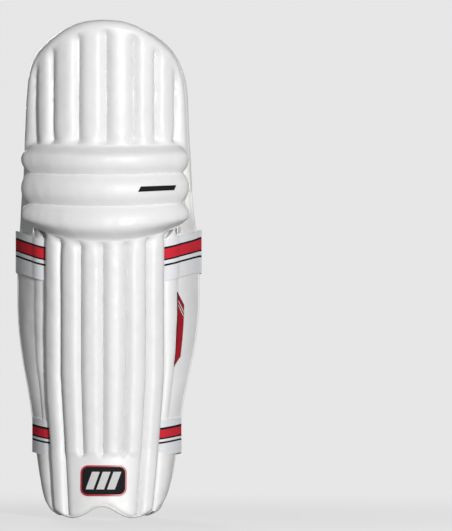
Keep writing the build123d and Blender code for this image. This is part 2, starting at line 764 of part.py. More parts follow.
everything = Compound(children=[Compound(children=list(s.solids())) for s in OUT.values()])
box = everything.bounding_box()
print("whole pad", box.min, box.max)
print("fold axis y", FRONT_Y + FOLD_AXIS, "nodes", len(OUT))
for name, shape in OUT.items():
    export_step(solids_of(shape), f"parts/{name}.step")
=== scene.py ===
from math import cos, pi, radians, sin

import bmesh
import bpy
import numpy as np
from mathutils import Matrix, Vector, noise


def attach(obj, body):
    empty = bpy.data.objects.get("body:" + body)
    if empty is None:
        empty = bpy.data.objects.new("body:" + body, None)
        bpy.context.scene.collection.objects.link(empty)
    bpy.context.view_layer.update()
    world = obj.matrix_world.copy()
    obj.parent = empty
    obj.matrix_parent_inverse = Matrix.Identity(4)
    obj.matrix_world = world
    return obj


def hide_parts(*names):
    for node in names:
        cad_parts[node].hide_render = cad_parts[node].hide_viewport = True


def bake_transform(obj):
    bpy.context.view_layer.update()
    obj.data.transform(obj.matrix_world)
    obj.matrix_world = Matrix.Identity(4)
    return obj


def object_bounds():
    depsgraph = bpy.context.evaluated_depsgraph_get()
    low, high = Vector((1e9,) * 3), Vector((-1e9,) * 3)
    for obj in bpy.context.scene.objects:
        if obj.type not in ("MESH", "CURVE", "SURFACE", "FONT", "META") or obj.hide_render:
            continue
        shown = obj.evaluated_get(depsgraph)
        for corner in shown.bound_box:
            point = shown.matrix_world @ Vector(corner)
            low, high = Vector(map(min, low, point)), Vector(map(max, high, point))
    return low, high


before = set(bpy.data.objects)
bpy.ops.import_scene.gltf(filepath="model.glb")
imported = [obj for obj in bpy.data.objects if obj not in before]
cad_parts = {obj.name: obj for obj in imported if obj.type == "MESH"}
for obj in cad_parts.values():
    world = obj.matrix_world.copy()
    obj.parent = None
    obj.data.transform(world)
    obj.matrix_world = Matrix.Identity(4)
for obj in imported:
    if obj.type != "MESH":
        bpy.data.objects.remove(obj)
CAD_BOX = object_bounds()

# Everything below is drawn in millimetres as (x, depth, height), where depth 0 is the front of the ribs
# and grows towards the leg. build() turns it into metres in the part's frame.
MM = 0.001
FRONT = CAD_BOX[0][1] / MM + 16.0
SPLIT = 451.7  # height where every soft length is cut between the two knee folds
LOWER_FOLD = 430.0
UPPER_FOLD = 473.4
FOLD_DEPTH = 40.0
SIDES = (("left", -1), ("right", 1))

# ---------------------------------------------------------------- numbers and curves


def through(*knots):
    """A smooth curve through (input, value) pairs, with no overshoot."""
    xs = np.array([k[0] for k in knots], float)
    ys = np.array([k[1] for k in knots], float)
    step = np.diff(xs)
    slope = np.diff(ys) / step
    lean = np.zeros(len(xs))
    lean[0], lean[-1] = slope[0], slope[-1]
    for i in range(1, len(xs) - 1):
        if slope[i - 1] * slope[i] > 0:
            lean[i] = 2 * slope[i - 1] * slope[i] / (slope[i - 1] + slope[i])

    def value(x):
        x = np.clip(np.asarray(x, float), xs[0], xs[-1])
        i = np.clip(np.searchsorted(xs, x) - 1, 0, len(xs) - 2)
        t = (x - xs[i]) / step[i]
        ends = (1 + 2 * t) * (1 - t) ** 2 * ys[i] + t * t * (3 - 2 * t) * ys[i + 1]
        return ends + step[i] * (t * (1 - t) ** 2 * lean[i] + t * t * (t - 1) * lean[i + 1])

    return value


def ease(low, high, x):
    t = np.clip((np.asarray(x, float) - low) / (high - low), 0, 1)
    return t * t * (3 - 2 * t)


def steps(low, high, count):
    return np.linspace(low, high, count)


def crowded(edges, per_cell):
    """Places from each edge up to the next one, which crowd together at the edges."""
    inside = (1 - np.cos(np.arange(per_cell) / per_cell * pi)) / 2
    return np.concatenate([a + (b - a) * inside for a, b in zip(edges, edges[1:])])


def smooth_path(points, count):
    """A cubic B-spline that passes near the given points, sampled evenly."""
    points = np.array(points, float)
    first, last = 2 * points[0] - points[1], 2 * points[-1] - points[-2]
    points = np.vstack([first, points, last])
    pieces = []
    t = np.linspace(0, 1, 24, endpoint=False)[:, None]
    for a, b, c, d in zip(points, points[1:], points[2:], points[3:]):
        second, third = 3 * t**3 - 6 * t**2 + 4, -3 * t**3 + 3 * t**2 + 3 * t + 1
        pieces.append(((1 - t) ** 3 * a + second * b + third * c + t**3 * d) / 6)
    end = (points[-3] + 4 * points[-2] + points[-1]) / 6
    return resample(np.vstack([*pieces, end]), count)


def run_along(path):
    """The distance along a path to each of its points."""
    return np.append(0, np.cumsum(np.linalg.norm(np.diff(path, axis=0), axis=1)))


def resample(path, count):
    run = run_along(path)
    at = np.linspace(0, run[-1], count)
    return np.stack([np.interp(at, run, path[:, k]) for k in range(3)], axis=1)


def path_length(path):
    return np.linalg.norm(np.diff(path, axis=0), axis=1).sum()


def rumple(grid, size, amount, seed=0.0):
    """Small soft unevenness at a given size, the same in every run."""
    flat = grid.reshape(-1, 3)
    shift = Vector((seed, 1.7 * seed, 2.3 * seed))
    values = [noise.noise(Vector(p) / size + shift) for p in flat]
    return amount * np.array(values).reshape(grid.shape[:-1])


def normals(grid):
    n = np.cross(np.gradient(grid, axis=1), np.gradient(grid, axis=0))
    return n / np.maximum(np.linalg.norm(n, axis=2, keepdims=True), 1e-9)


def offset(grid, distance):
    """The same grid moved along its own normals."""
    distance = np.broadcast_to(np.asarray(distance, float), grid.shape[:2])
    return grid + normals(grid) * distance[..., None]


def stack(x, d, z):
    x, d, z = np.broadcast_arrays(x, d, z)
    return np.stack([x, d, z], axis=-1)


def flat_map(across, along):
    """Flat cloth coordinates for the points of a grid."""
    u, v = np.meshgrid(across, along)
    return np.stack([u.ravel(), v.ravel()], axis=1)


def rounded_rectangle(cx, cz, width, height, corner, n=7):
    points = []
    for sx, sz, start in ((1, 1, 0), (-1, 1, 90), (-1, -1, 180), (1, -1, 270)):
        for angle in steps(start, start + 90, n):
            a = cx + sx * (width / 2 - corner) + corner * cos(radians(angle))
            points.append((a, cz + sz * (height / 2 - corner) + corner * sin(radians(angle))))
    return points


# ---------------------------------------------------------------- meshes


def build(name, verts, faces, material, uv=None, marks=None, sharp=42.0):
    verts = np.asarray(verts, float)
    placed = (verts + np.array([0, FRONT, 0])) * MM
    mesh = bpy.data.meshes.new(name)
    mesh.from_pydata([tuple(p) for p in placed], [], faces)
    mesh.materials.append(material)
    if uv is not None:
        layer = mesh.uv_layers.new(name="cloth")
        loops = np.empty(len(mesh.loops), dtype=np.int32)
        mesh.loops.foreach_get("vertex_index", loops)
        layer.data.foreach_set("uv", np.asarray(uv, float)[loops].ravel())
    for mark, values in (marks or {}).items():
        mesh.attributes.new(mark, "FLOAT", "POINT").data.foreach_set("value", np.asarray(values, float))
    mesh.update()
    mesh.shade_smooth()
    mesh.set_sharp_from_angle(angle=radians(sharp))
    piece = bpy.data.objects.new(name, mesh)
    bpy.context.collection.objects.link(piece)
    return piece


def quads(rows, cols, first=0, flip=False):
    faces = []
    for r in range(rows - 1):
        for c in range(cols - 1):
            a = first + r * cols + c
            face = (a, a + 1, a + cols + 1, a + cols)
            faces.append(face[::-1] if flip else face)
    return faces


def slab(name, front, back, material, marks=None, sharp=42.0, uv=None):
    """A closed body between two grids of the same layout; the front one faces the viewer of the front."""
    rows, cols = front.shape[:2]
    count = rows * cols
    rim = [*range(cols - 1)]
    rim += [r * cols + cols - 1 for r in range(rows - 1)]
    rim += [count - 1 - c for c in range(cols - 1)]
    rim += [(rows - 1 - r) * cols for r in range(rows - 1)]
    walls = [(a, count + a, count + b, b) for a, b in zip(rim, rim[1:] + rim[:1])]
    faces = quads(rows, cols) + quads(rows, cols, count, flip=True) + walls
    verts = np.concatenate([front.reshape(-1, 3), back.reshape(-1, 3)])
    if uv is None:
        uv = flat_map(run_along(front[rows // 2]), run_along(front[:, cols // 2]))
    both = {k: np.concatenate([np.ravel(m), np.ravel(m)]) for k, m in (marks or {}).items()}
    return build(name, verts, faces, material, np.concatenate([uv, uv]), both, sharp)


def frames(path):
    """Two directions square to a path at each of its points, turning as little as possible."""
    along = np.gradient(path, axis=0)
    along /= np.linalg.norm(along, axis=1, keepdims=True)
    side = np.cross(along[0], (0.3, 0.2, 1.0) if abs(along[0][2]) < 0.8 else (0.2, 1.0, 0.1))
    sides = []
    for direction in along:
        side = side - direction * np.dot(side, direction)
        side = side / np.linalg.norm(side)
        sides.append(side)
    sides = np.array(sides)
    return sides, np.cross(along, sides)


def swept(path, radius, around):
    """Rings of points round a path; radius may vary by ring and by angle."""
    sides, ups = frames(path)
    turn = np.arange(around) / around * 2 * pi
    radius = np.broadcast_to(np.asarray(radius, float), (len(path), around))
    ring = np.cos(turn)[None, :, None] * sides[:, None] + np.sin(turn)[None, :, None] * ups[:, None]
    return path[:, None] + ring * radius[..., None]


def ring_faces(rows, around, first=0):
    faces = []
    for r in range(rows - 1):
        for c in range(around):
            a, b = first + r * around + c, first + r * around + (c + 1) % around
            faces.append((a, b, b + around, a + around))
    faces.append(tuple(range(first, first + around))[::-1])
    faces.append(tuple(range(first + (rows - 1) * around, first + rows * around)))
    return faces


def tube(name, path, radius, material, around):
    rings = swept(path, radius, around).reshape(-1, 3)
    girth = 2 * pi * float(np.mean(radius)) * np.arange(around) / around
    uv = flat_map(girth, run_along(path))
    return build(name, rings, ring_faces(len(path), around), material, uv)


def stitched(name, paths, material, pitch, length, radius, lift=0.1):
    """Rows of short thread stitches laid along paths."""
    verts, faces = [], []
    profile = np.array([0.25, 0.8, 1.0, 1.0, 0.8, 0.25]) * radius
    dip = np.array([-0.5, 0.0, 0.25, 0.25, 0.0, -0.5]) * radius
    for path, up in paths:
        total = path_length(path)
        count = max(int(total / pitch), 1)
        fine = resample(path, count * 12 + 1)
        half = max(int(6 * length / pitch), 2)
        for i in range(count):
            mid = i * 12 + 6
            picks = np.linspace(mid - half, mid + half, 6).astype(int)
            strand = fine[picks] + np.array(up) * (dip + lift)[:, None]
            rings = swept(strand, np.broadcast_to(profile[:, None], (6, 6)), 6)
            faces += ring_faces(6, 6, len(verts))
            verts += rings.reshape(-1, 3).tolist()
    return build(name, verts, faces, material, sharp=80.0)


def decal(name, outline, surface, material, lift=0.35, cell=4.0, under=0.5):
    """A thin closed plate of the given flat outline, laid on a surface(a, b)."""
    bm = bmesh.new()
    bm.faces.new([bm.verts.new((a, 0.0, b)) for a, b in outline])
    a0, a1 = min(p[0] for p in outline), max(p[0] for p in outline)
    b0, b1 = min(p[1] for p in outline), max(p[1] for p in outline)
    cuts = [((x, 0, 0), (1, 0, 0)) for x in np.arange(a0 + cell, a1, cell)]
    cuts += [((0, 0, z), (0, 0, 1)) for z in np.arange(b0 + cell, b1, cell)]
    for point, normal in cuts:
        geometry = bm.verts[:] + bm.edges[:] + bm.faces[:]
        bmesh.ops.bisect_plane(bm, geom=geometry, plane_co=point, plane_no=normal, dist=1e-5)
    bmesh.ops.triangulate(bm, faces=[f for f in bm.faces if len(f.verts) > 4])
    bm.verts.index_update()
    bm.faces.ensure_lookup_table()
    flat = np.array([(v.co.x, v.co.z) for v in bm.verts])
    a, b = flat[:, 0], flat[:, 1]
    here = surface(a, b)
    tiny = 0.2
    normal = np.cross(surface(a + tiny, b) - here, surface(a, b + tiny) - here)
    normal /= np.linalg.norm(normal, axis=1, keepdims=True)
    top = [[v.index for v in f.verts] for f in bm.faces]
    if bm.faces[:] and bm.faces[0].normal.y > 0:
        top = [f[::-1] for f in top]
    rim = {}
    for face in top:
        for p, q in zip(face, face[1:] + face[:1]):
            if rim.pop((q, p), None) is None:
                rim[(p, q)] = True
    n = len(flat)
    walls = [(q, p, n + p, n + q) for p, q in rim]
    faces = top + [[n + i for i in reversed(f)] for f in top] + walls
    bm.free()
    verts = np.concatenate([here + normal * lift, here - normal * under])
    return build(name, verts, faces, material, np.concatenate([flat, flat]))


# ---------------------------------------------------------------- materials

WHITE_LEATHER = (0.850, 0.850, 0.845)
CREAM_LEATHER = (0.815, 0.810, 0.775)
LINING_WHITE = (0.715, 0.725, 0.755)
CUSHION_WHITE = (0.775, 0.775, 0.790)
DEEP_RED = (0.150, 0.005, 0.008)
BRIGHT_RED = (0.395, 0.001, 0.003)
STRAP_RED = (0.680, 0.028, 0.046)
INK = (0.012, 0.012, 0.014)
GREY = (0.215, 0.215, 0.230)
WHITE_TAPE = (0.860, 0.870, 0.890)
TAPE_COLORS = (WHITE_TAPE, INK, STRAP_RED, INK, WHITE_TAPE, INK, WHITE_TAPE)
WAVES_PER_UNIT = 0.31415927  # scale at which the wave texture has one wave in a unit of length


class Shader:
    """A principled material with a few helpers for its nodes."""

    def __init__(self, name, color, roughness, sheen=0.0, coat=0.0):
        self.material = bpy.data.materials.new(name)
        self.material.use_nodes = True
        self.nodes = self.material.node_tree.nodes
        self.links = self.material.node_tree.links
        self.shader = self.nodes["Principled BSDF"]
        self.shader.inputs["Base Color"].default_value = (*color, 1)
        finish = {"Roughness": roughness, "Sheen Weight": sheen, "Sheen Roughness": 0.5}
        finish |= {"Coat Weight": coat, "Coat Roughness": 0.3}
        for socket, value in finish.items():
            self.shader.inputs[socket].default_value = value
        self.material.diffuse_color = (*color, 1)
        self.normal = None

    def node(self, kind, **settings):
        made = self.nodes.new(kind)
        for key, value in settings.items():
            setattr(made, key, value)
        return made

    def join(self, out, into):
        self.links.new(out, into)

    def place(self, cloth=False):
        """Coordinates in millimetres: the piece's own, or those of its flat cloth."""
        if cloth:
            return self.node("ShaderNodeUVMap", uv_map="cloth").outputs["UV"]
        scale = self.node("ShaderNodeVectorMath", operation="SCALE")
        scale.inputs["Scale"].default_value = 1 / MM
        self.join(self.node("ShaderNodeTexCoord").outputs["Object"], scale.inputs[0])
        return scale.outputs[0]

    def noise(self, place, size, detail=2.0, rough=0.5):
        made = self.node("ShaderNodeTexNoise")
        made.inputs["Scale"].default_value = 1 / size
        made.inputs["Detail"].default_value = detail
        made.inputs["Roughness"].default_value = rough
        self.join(place, made.inputs["Vector"])
        return made.outputs["Fac"]

    def cells(self, place, size, feature="F1"):
        made = self.node("ShaderNodeTexVoronoi", feature=feature)
        made.inputs["Scale"].default_value = 1 / size
        self.join(place, made.inputs["Vector"])
        return made.outputs["Distance"]

    def waves(self, place, pitch, direction="X", bend=0.0):
        made = self.node("ShaderNodeTexWave", bands_direction=direction)
        made.inputs["Scale"].default_value = WAVES_PER_UNIT / pitch
        made.inputs["Distortion"].default_value = bend
        self.join(place, made.inputs["Vector"])
        return made.outputs["Fac"]

    def math(self, operation, a, b=None):
        made = self.node("ShaderNodeMath", operation=operation)
        for socket, value in zip(made.inputs, (a, b)):
            if isinstance(value, (int, float)):
                socket.default_value = value
            elif value is not None:
                self.join(value, socket)
        return made.outputs[0]

    def ramp(self, value, *stops, hard=False):
        made = self.node("ShaderNodeValToRGB")
        made.color_ramp.interpolation = "CONSTANT" if hard else "LINEAR"
        elements = made.color_ramp.elements
        while len(elements) < len(stops):
            elements.new(0.5)
        for element, (position, color) in zip(elements, sorted(stops, key=lambda s: s[0])):
            element.position = position
            element.color = (*color, 1)
        self.join(value, made.inputs[0])
        return made.outputs["Color"]

    def mix(self, factor, a, b, kind="MIX"):
        made = self.node("ShaderNodeMix", data_type="RGBA", blend_type=kind)
        for key, value in (("Factor_Float", factor), ("A_Color", a), ("B_Color", b)):
            socket = next(s for s in made.inputs if s.identifier == key)
            if isinstance(value, (int, float)):
                socket.default_value = value
            elif isinstance(value, tuple):
                socket.default_value = (*value, 1)
            else:
                self.join(value, socket)
        return next(s for s in made.outputs if s.identifier == "Result_Color")

    def bump(self, height, depth, strength=0.5):
        """Adds a relief of the given depth in millimetres."""
        made = self.node("ShaderNodeBump")
        made.inputs["Strength"].default_value = strength
        made.inputs["Distance"].default_value = depth * MM
        self.join(height, made.inputs["Height"])
        if self.normal is not None:
            self.join(self.normal, made.inputs["Normal"])
        self.normal = made.outputs["Normal"]

    def mark(self, name):
        return self.node("ShaderNodeAttribute", attribute_name=name).outputs["Fac"]

    def finish(self, color=None, roughness=None):
        if color is not None:
            self.join(color, self.shader.inputs["Base Color"])
        if roughness is not None:
            self.join(roughness, self.shader.inputs["Roughness"])
        if self.normal is not None:
            self.join(self.normal, self.shader.inputs["Normal"])
        return self.material


def scaled(color, factor):
    return tuple(c * factor for c in color)


def leathercloth(name, color, pebble=0.9, roughness=0.46, crease_shade=False):
    """Coated leathercloth: fine pebble grain, faint broad unevenness, and, where asked, painted shade that
    greys the creases.
    """
    s = Shader(name, color, roughness, coat=0.06)
    place = s.place()
    blotch = s.noise(place, 26.0, 3.0)
    tone = s.ramp(blotch, (0.35, scaled(color, 0.975)), (0.65, color))
    if crease_shade:
        # painted shade: the colour greys by up to a fifth where the mark for creases is high
        tone = s.mix(s.mark("crease_shade"), tone, scaled(color, 0.80))
    s.bump(s.cells(place, pebble, "SMOOTH_F1"), 0.10, 0.35)
    s.bump(s.noise(place, 9.0, 3.0), 0.5, 0.25)
    smooth, dull = (roughness - 0.05,) * 3, (roughness + 0.09,) * 3
    rough = s.ramp(s.noise(place, 14.0, 2.0), (0.3, smooth), (0.7, dull))
    return s.finish(tone, rough)


def brushed_cloth(name, color, weave=0.9, fuzz=0.35, roughness=0.92, pucker=0.0):
    s = Shader(name, color, roughness, sheen=fuzz)
    place = s.place()
    tone = s.ramp(s.noise(place, 5.0, 4.0, 0.65), (0.3, scaled(color, 0.93)), (0.7, color))
    knit = s.math("MULTIPLY", s.waves(place, weave, "X", 1.2), s.waves(place, weave, "Z", 1.2))
    s.bump(knit, 0.18, 0.4)
    s.bump(s.noise(place, 1.6, 4.0, 0.7), 0.25, 0.3)
    if pucker:
        s.bump(s.noise(place, 11.0, 2.0), pucker, 0.5)
    return s.finish(tone)


def webbing(name, sizes, width):
    """Woven tape: bands of the given sizes across it, ribbed weave, thread-by-thread variation."""
    s = Shader(name, (0.8, 0.8, 0.82), 0.9)
    s.shader.inputs["Specular IOR Level"].default_value = 0.15
    place = s.place(cloth=True)
    split = s.node("ShaderNodeSeparateXYZ")
    s.join(place, split.inputs[0])
    across = s.math("DIVIDE", split.outputs["Y"], width)
    stops, edge = [], 0.0
    for size, color in zip(sizes, TAPE_COLORS):
        stops.append((edge, color))
        edge += size / width
    tone = s.ramp(across, *stops, hard=True)
    thread = s.noise(place, 0.8, 2.0)
    tone = s.mix(0.22, tone, s.ramp(thread, (0.3, (0.62,) * 3), (0.7, (1.0,) * 3)), "MULTIPLY")
    ribs = s.math("ADD", s.waves(place, 1.5, "X", 0.4), s.waves(place, 0.95, "Y", 0.6))
    s.bump(ribs, 0.22, 0.55)
    return s.finish(tone)


def print_on_cloth(name, dark, light, low, high):
    """A printed panel that runs from a dark patterned top to a brighter foot, by height."""
    s = Shader(name, light, 0.85)
    s.shader.inputs["Specular IOR Level"].default_value = 0.2
    place = s.place()
    split = s.node("ShaderNodeSeparateXYZ")
    s.join(place, split.inputs[0])
    rise = s.math("DIVIDE", s.math("SUBTRACT", split.outputs["Z"], low), high - low)
    flecks = s.cells(place, 3.2)
    speckle = s.ramp(flecks, (0.18, INK), (0.42, dark))
    fade = s.ramp(rise, (0.05, (0, 0, 0)), (0.75, (1, 1, 1)))
    tone = s.mix(fade, light, speckle)
    s.bump(s.noise(place, 1.4, 3.0), 0.2, 0.3)
    return s.finish(tone)


def dash_weave(name, color):
    """Dark red cloth with short black dashes woven through it in offset rows."""
    s = Shader(name, color, 0.95)
    s.shader.inputs["Specular IOR Level"].default_value = 0.12
    place = s.place(cloth=True)
    bricks = s.node("ShaderNodeTexBrick", offset=0.5, squash=1.0)
    sizes = {"Scale": 1.0, "Brick Width": 4.6, "Row Height": 2.4, "Mortar Size": 0.72, "Mortar Smooth": 0.3}
    for socket, value in sizes.items():
        bricks.inputs[socket].default_value = value
    bricks.inputs["Color1"].default_value = (*color, 1)
    bricks.inputs["Color2"].default_value = (*scaled(color, 1.35), 1)
    bricks.inputs["Mortar"].default_value = (*INK, 1)
    s.join(place, bricks.inputs["Vector"])
    s.bump(bricks.outputs["Fac"], 0.25, 0.4)
    s.bump(s.noise(place, 0.8, 2.0), 0.12, 0.4)
    return s.finish(bricks.outputs["Color"])


def moulded(name, color, roughness=0.4, coat=0.0):
    s = Shader(name, color, roughness, coat=coat)
    if roughness >= 0.6:
        s.shader.inputs["Specular IOR Level"].default_value = 0.2
    place = s.place()
    tone = s.ramp(s.noise(place, 6.0, 3.0), (0.3, scaled(color, 0.92)), (0.7, color))
    s.bump(s.noise(place, 0.9, 2.0), 0.06, 0.3)
    return s.finish(tone)


leather = leathercloth("white_leathercloth", WHITE_LEATHER, crease_shade=True)
cream = leathercloth("cream_leathercloth", CREAM_LEATHER, pebble=1.1, roughness=0.52)
lining_cloth = brushed_cloth("lining_cloth", LINING_WHITE, pucker=0.5)
cushion_cloth = brushed_cloth("cushion_cloth", CUSHION_WHITE, weave=1.3, pucker=0.8)
red_weave = dash_weave("dark_red_weave", DEEP_RED)
thread = brushed_cloth("thread", (0.80, 0.80, 0.80), weave=0.5, fuzz=0.1, roughness=0.7)
panel_print = print_on_cloth("panel_print", DEEP_RED, BRIGHT_RED, 566.0, 606.0)
triangle_print = print_on_cloth("triangle_print", DEEP_RED, (0.462, 0.001, 0.001), 500.0, 592.0)
ink_print = moulded("ink_print", INK, 0.9)
grey_print = moulded("grey_print", GREY, 0.7)
white_print = moulded("white_print", (0.80, 0.80, 0.80), 0.6)
red_print = moulded("red_print", (0.37, 0.010, 0.020), 0.7)
badge_red = moulded("badge_red", (0.50, 0.016, 0.030), 0.42, 0.2)
badge_dark = moulded("badge_dark", (0.010, 0.010, 0.012), 0.8)
badge_light = moulded("badge_light", (0.66, 0.66, 0.64), 0.6)
white_plastic = moulded("white_plastic", (0.80, 0.80, 0.80), 0.32, 0.1)
hook_tape = brushed_cloth("hook_tape", (0.70, 0.70, 0.71), weave=1.8, fuzz=0.5)

knee_tape = webbing("knee_webbing", (10.4, 2.7, 15.4, 2.4, 5.6, 2.9, 22.6), 62.0)
ankle_tape = webbing("ankle_webbing", (10.6, 3.3, 12.2, 2.3, 3.6, 2.9, 18.6), 53.5)

# ---------------------------------------------------------------- the pad's outline and shells

half_width = through(
    (0, 50), (6, 63), (24.7, 84), (52, 91.5), (80, 96.0), (107, 100.4), (135, 103.5), (162, 107.2),
    (190, 112.6), (217, 118.2), (244.5, 122.8),
    (272, 125.8), (299, 126.8), (350, 126.8), (382, 125.5), (397, 122.8),
    (437, 118.8), (478, 116.7), (519, 114.7), (574, 112.6), (605, 109.5),
)  # fmt: skip
top_edge = through(
    (0, 685.6), (23, 684), (40, 679.8), (56, 673), (71, 663.6), (84.8, 653), (95, 643), (104, 626),
    (109.5, 605),
)  # fmt: skip
foot_edge = through(
    (0, 16.5), (8, 15.2), (20, 8.0), (32, 2.0), (41, 0.4), (50, 1.8), (62, 6.5), (74, 14.5), (83, 25),
)  # fmt: skip

SHIN_AXIS, SHIN_GROOVE, SHIN_HALF = 111.0, 101.0, 52.0
HAT_AXIS, HAT_GROOVE = 135.0, 125.0
RIB = 10.0
INSTEP_TOP = 84.5
RIM_R = 9.2


def kick(z):
    """How far the instep leans forward over the shoe."""
    return 16.0 * np.clip((95.0 - np.asarray(z, float)) / 95.0, 0, 1) ** 1.12


def foot_taper(z):
    return 1 - 0.225 * np.clip((200.0 - np.asarray(z, float)) / 200.0, 0, 1) ** 1.05


def rib_top(x):
    """Upper end of the shin's ribs, under the lower knee roll."""
    return 386.0 + 17.0 * (np.abs(x) / 80.0) ** 2.4


def shin_point(turn, z, height):
    """A point of the shin's front: turn is -1 to 1 across the ribs, height 0 in a groove and 1 on a crown."""
    angle = np.radians(SHIN_HALF) * turn * foot_taper(z)
    radius = SHIN_GROOVE + RIB * height
    return stack(radius * np.sin(angle), SHIN_AXIS - radius * np.cos(angle) - kick(z), z)


def shell_grid(turns, shares, half, low, high):
    """Heights and sideways places of a grid whose rows run from the lower edge to the upper one."""
    u, v = np.meshgrid(turns, shares)
    x = u * half(300.0)
    for _ in range(30):
        z = low(np.abs(x)) + v * (high(np.abs(x)) - low(np.abs(x)))
        x = 0.4 * x + 0.6 * u * half(z)
    return x, z


def valley(share, sharpness=3.2):
    """Depth of a sewn channel: 0 along a rib's middle, 1 in the channel, where share is -1 or 1."""
    return np.clip(np.abs(share), 0, 1) ** sharpness


def uneven(base, height, seed):
    """Broad and fine unevenness of stuffed ribs, in proportion to their height."""
    return height * (rumple(base, 38.0, 0.07, seed) + rumple(base, 11.0, 0.035, seed + 1.0))


def channel_shade(height):
    """Painted shade: how far the leather's colour is greyed, which it is only at the bottom of a channel,
    where shade falls.
    """
    return np.clip(1 - height * 2.4, 0, 1) * 0.45


RIB_STEPS = 14
turns = np.append(crowded(steps(-1, 1, 7), RIB_STEPS), 1.0)
near_instep, near_roll = steps(0.195, 0.245, 14), steps(0.955, 0.999, 8)
shares = np.sort(np.concatenate([steps(0, 1, 128), near_instep, near_roll, [0.004, 0.010]]))
shin_side = lambda z: (SHIN_GROOVE + 6) * np.sin(np.radians(SHIN_HALF) * foot_taper(z))
x, z = shell_grid(turns, shares, shin_side, foot_edge, rib_top)
turn = np.broadcast_to(turns, z.shape)
cell = (turn + 1) * 3
across = 2 * (cell - np.floor(np.clip(cell, 0, 5.999))) - 1
outer = np.abs(turn) > 2 / 3 - 1e-6
under_roll = ease(0, 15, rib_top(np.abs(x)) - 3.0 - z)
on_panel = 1 - ease(INSTEP_TOP - 3.0, INSTEP_TOP + 8.0, z)
foot_round = np.clip((9.0 - (z - foot_edge(np.abs(x)))) / 9.0, 0, 1)
flare = 1.9 + 1.5 * ease(4, 26, rib_top(np.abs(x)) - 3.0 - z)
ribs = 1 - valley(across, flare) * under_roll
beside = 3 * np.abs(turn) - 2
panel = 0.80 * (1 - valley(np.clip(1 + beside / 0.45, 0, 1), 3.0))
panel = np.where(outer, 0, panel)
height = np.where(outer, ribs, ribs * (1 - on_panel) + panel * on_panel)
height = height * np.sqrt(np.clip(1 - (0.95 * foot_round) ** 2.4, 0, 1))
base = shin_point(turn, z, height)
height = height + uneven(base, height, 1.0)
# painted shade where the cover dips low, in the channels between the ribs
crease_shade = channel_shade(height)
front = shin_point(turn, z, height)
back = shin_point(turn, z, -0.12)
shin_cover = slab("shin_ribbed_cover", front, back, leather, {"crease_shade": crease_shade}, sharp=60)
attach(shin_cover, "shin")
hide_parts("shin_cover", "shin_cane_rods", *[f"shin_rib_filling_{i}" for i in range(1, 7)])
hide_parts("instep_cover", "instep_filling")

# ---------------------------------------------------------------- top hat


def hat_half(z):
    return half_width(np.minimum(z, 605.0)) - 2.3


HAT_LOW = 500.0
BORDER = 12.0
HAT_FACE = HAT_GROOVE + 4.0  # radius at which the flat places on the top hat are measured
channels = np.radians([-66.0, -46.2, -33.1, -15.4, 2.0, 19.0, 33.3, 48.2, 66.0])
hat_limit = np.arcsin(hat_half(HAT_LOW) / (HAT_GROOVE + 1.0))
angles = crowded(channels, RIB_STEPS)
angles = angles[np.abs(angles) < hat_limit * 0.985]
inside = np.sin(angles) * (HAT_GROOVE + 1.0) / hat_half(HAT_LOW)
hat_us = np.sort(np.concatenate([[-1.0, -0.993], inside, [0.993, 1.0]]))
near_top = [0.99, 0.994, 0.997, 0.999, 1.0]
hat_vs = np.sort(np.concatenate([steps(0, 0.86, 64), steps(0.87, 0.985, 26), near_top]))
hat_low = lambda q: np.full_like(q, HAT_LOW)
hat_high = lambda q: top_edge(q * 1.02) - 0.8
x, z = shell_grid(hat_us, hat_vs, hat_half, hat_low, hat_high)
theta = np.arcsin(np.clip(x / HAT_FACE, -1, 1))
edge_line = [(float(np.arcsin(hat_half(q) / HAT_FACE)) * HAT_FACE, q) for q in steps(480, 604, 40)]
for q in steps(float(hat_half(605)), 0, 60):
    edge_line.append((float(np.arcsin(q / HAT_FACE)) * HAT_FACE, float(hat_high(q))))
edge_line = np.array(edge_line)
places = np.stack([np.abs(theta) * HAT_FACE, z], axis=-1)
edge_gap = np.full(z.shape, 1e9)
for p, q in zip(edge_line, edge_line[1:]):
    run = q - p
    t = np.clip(((places - p) @ run) / (run @ run), 0, 1)
    gap = np.linalg.norm(places - p - t[..., None] * run, axis=-1)
    edge_gap = np.minimum(edge_gap, gap)
index = np.clip(np.searchsorted(channels, theta) - 1, 0, 7)
near, far = channels[index], channels[index + 1]
across = 2 * (theta - near) / (far - near) - 1
fade = ease(BORDER - 1.0, BORDER + 12.0, edge_gap) * ease(HAT_LOW + 9.0, HAT_LOW + 22.0, z)
flare = 1.7 + 1.7 * ease(HAT_LOW + 12.0, HAT_LOW + 36.0, z)
roll_over = np.clip(1 - edge_gap / 13.0, 0, 1)
height = 1 - valley(across, flare) * fade
base = stack(x, HAT_AXIS - np.sqrt(HAT_FACE**2 - x**2), z)
height = height + uneven(base, height, 3.0)
# painted shade in the channels between the top hat's ribs
crease_shade = channel_shade(height)
height = height - 1.25 * (1 - np.sqrt(np.clip(1 - roll_over**2, 0, 1)))
radius = HAT_GROOVE + RIB * height
front = stack(radius * np.sin(theta), HAT_AXIS - radius * np.cos(theta), z)
reach = np.abs(front[..., 0])
front[..., 0] *= np.where(reach > hat_half(z), hat_half(z) / np.maximum(reach, 1), 1)
inner = HAT_GROOVE - 1.4
back = stack(inner * np.sin(theta), HAT_AXIS - inner * np.cos(theta), z)
hat_cover = slab("top_hat_ribbed_cover", front, back, leather, {"crease_shade": crease_shade}, sharp=60)
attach(hat_cover, "top_hat")
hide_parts("top_hat_cover", "top_hat_cane_rods",
            *[f"top_hat_rib_filling_{i}" for i in range(1, 9)])

# ---------------------------------------------------------------- knee rolls


ROLL_TOP = 151.0
ROLL_BACK = 124.2
ROLL_VALLEY = 141.5
ROLL_MIDDLE = 136.0
ROLL_END = 113.4  # half a roll's length, measured straight across


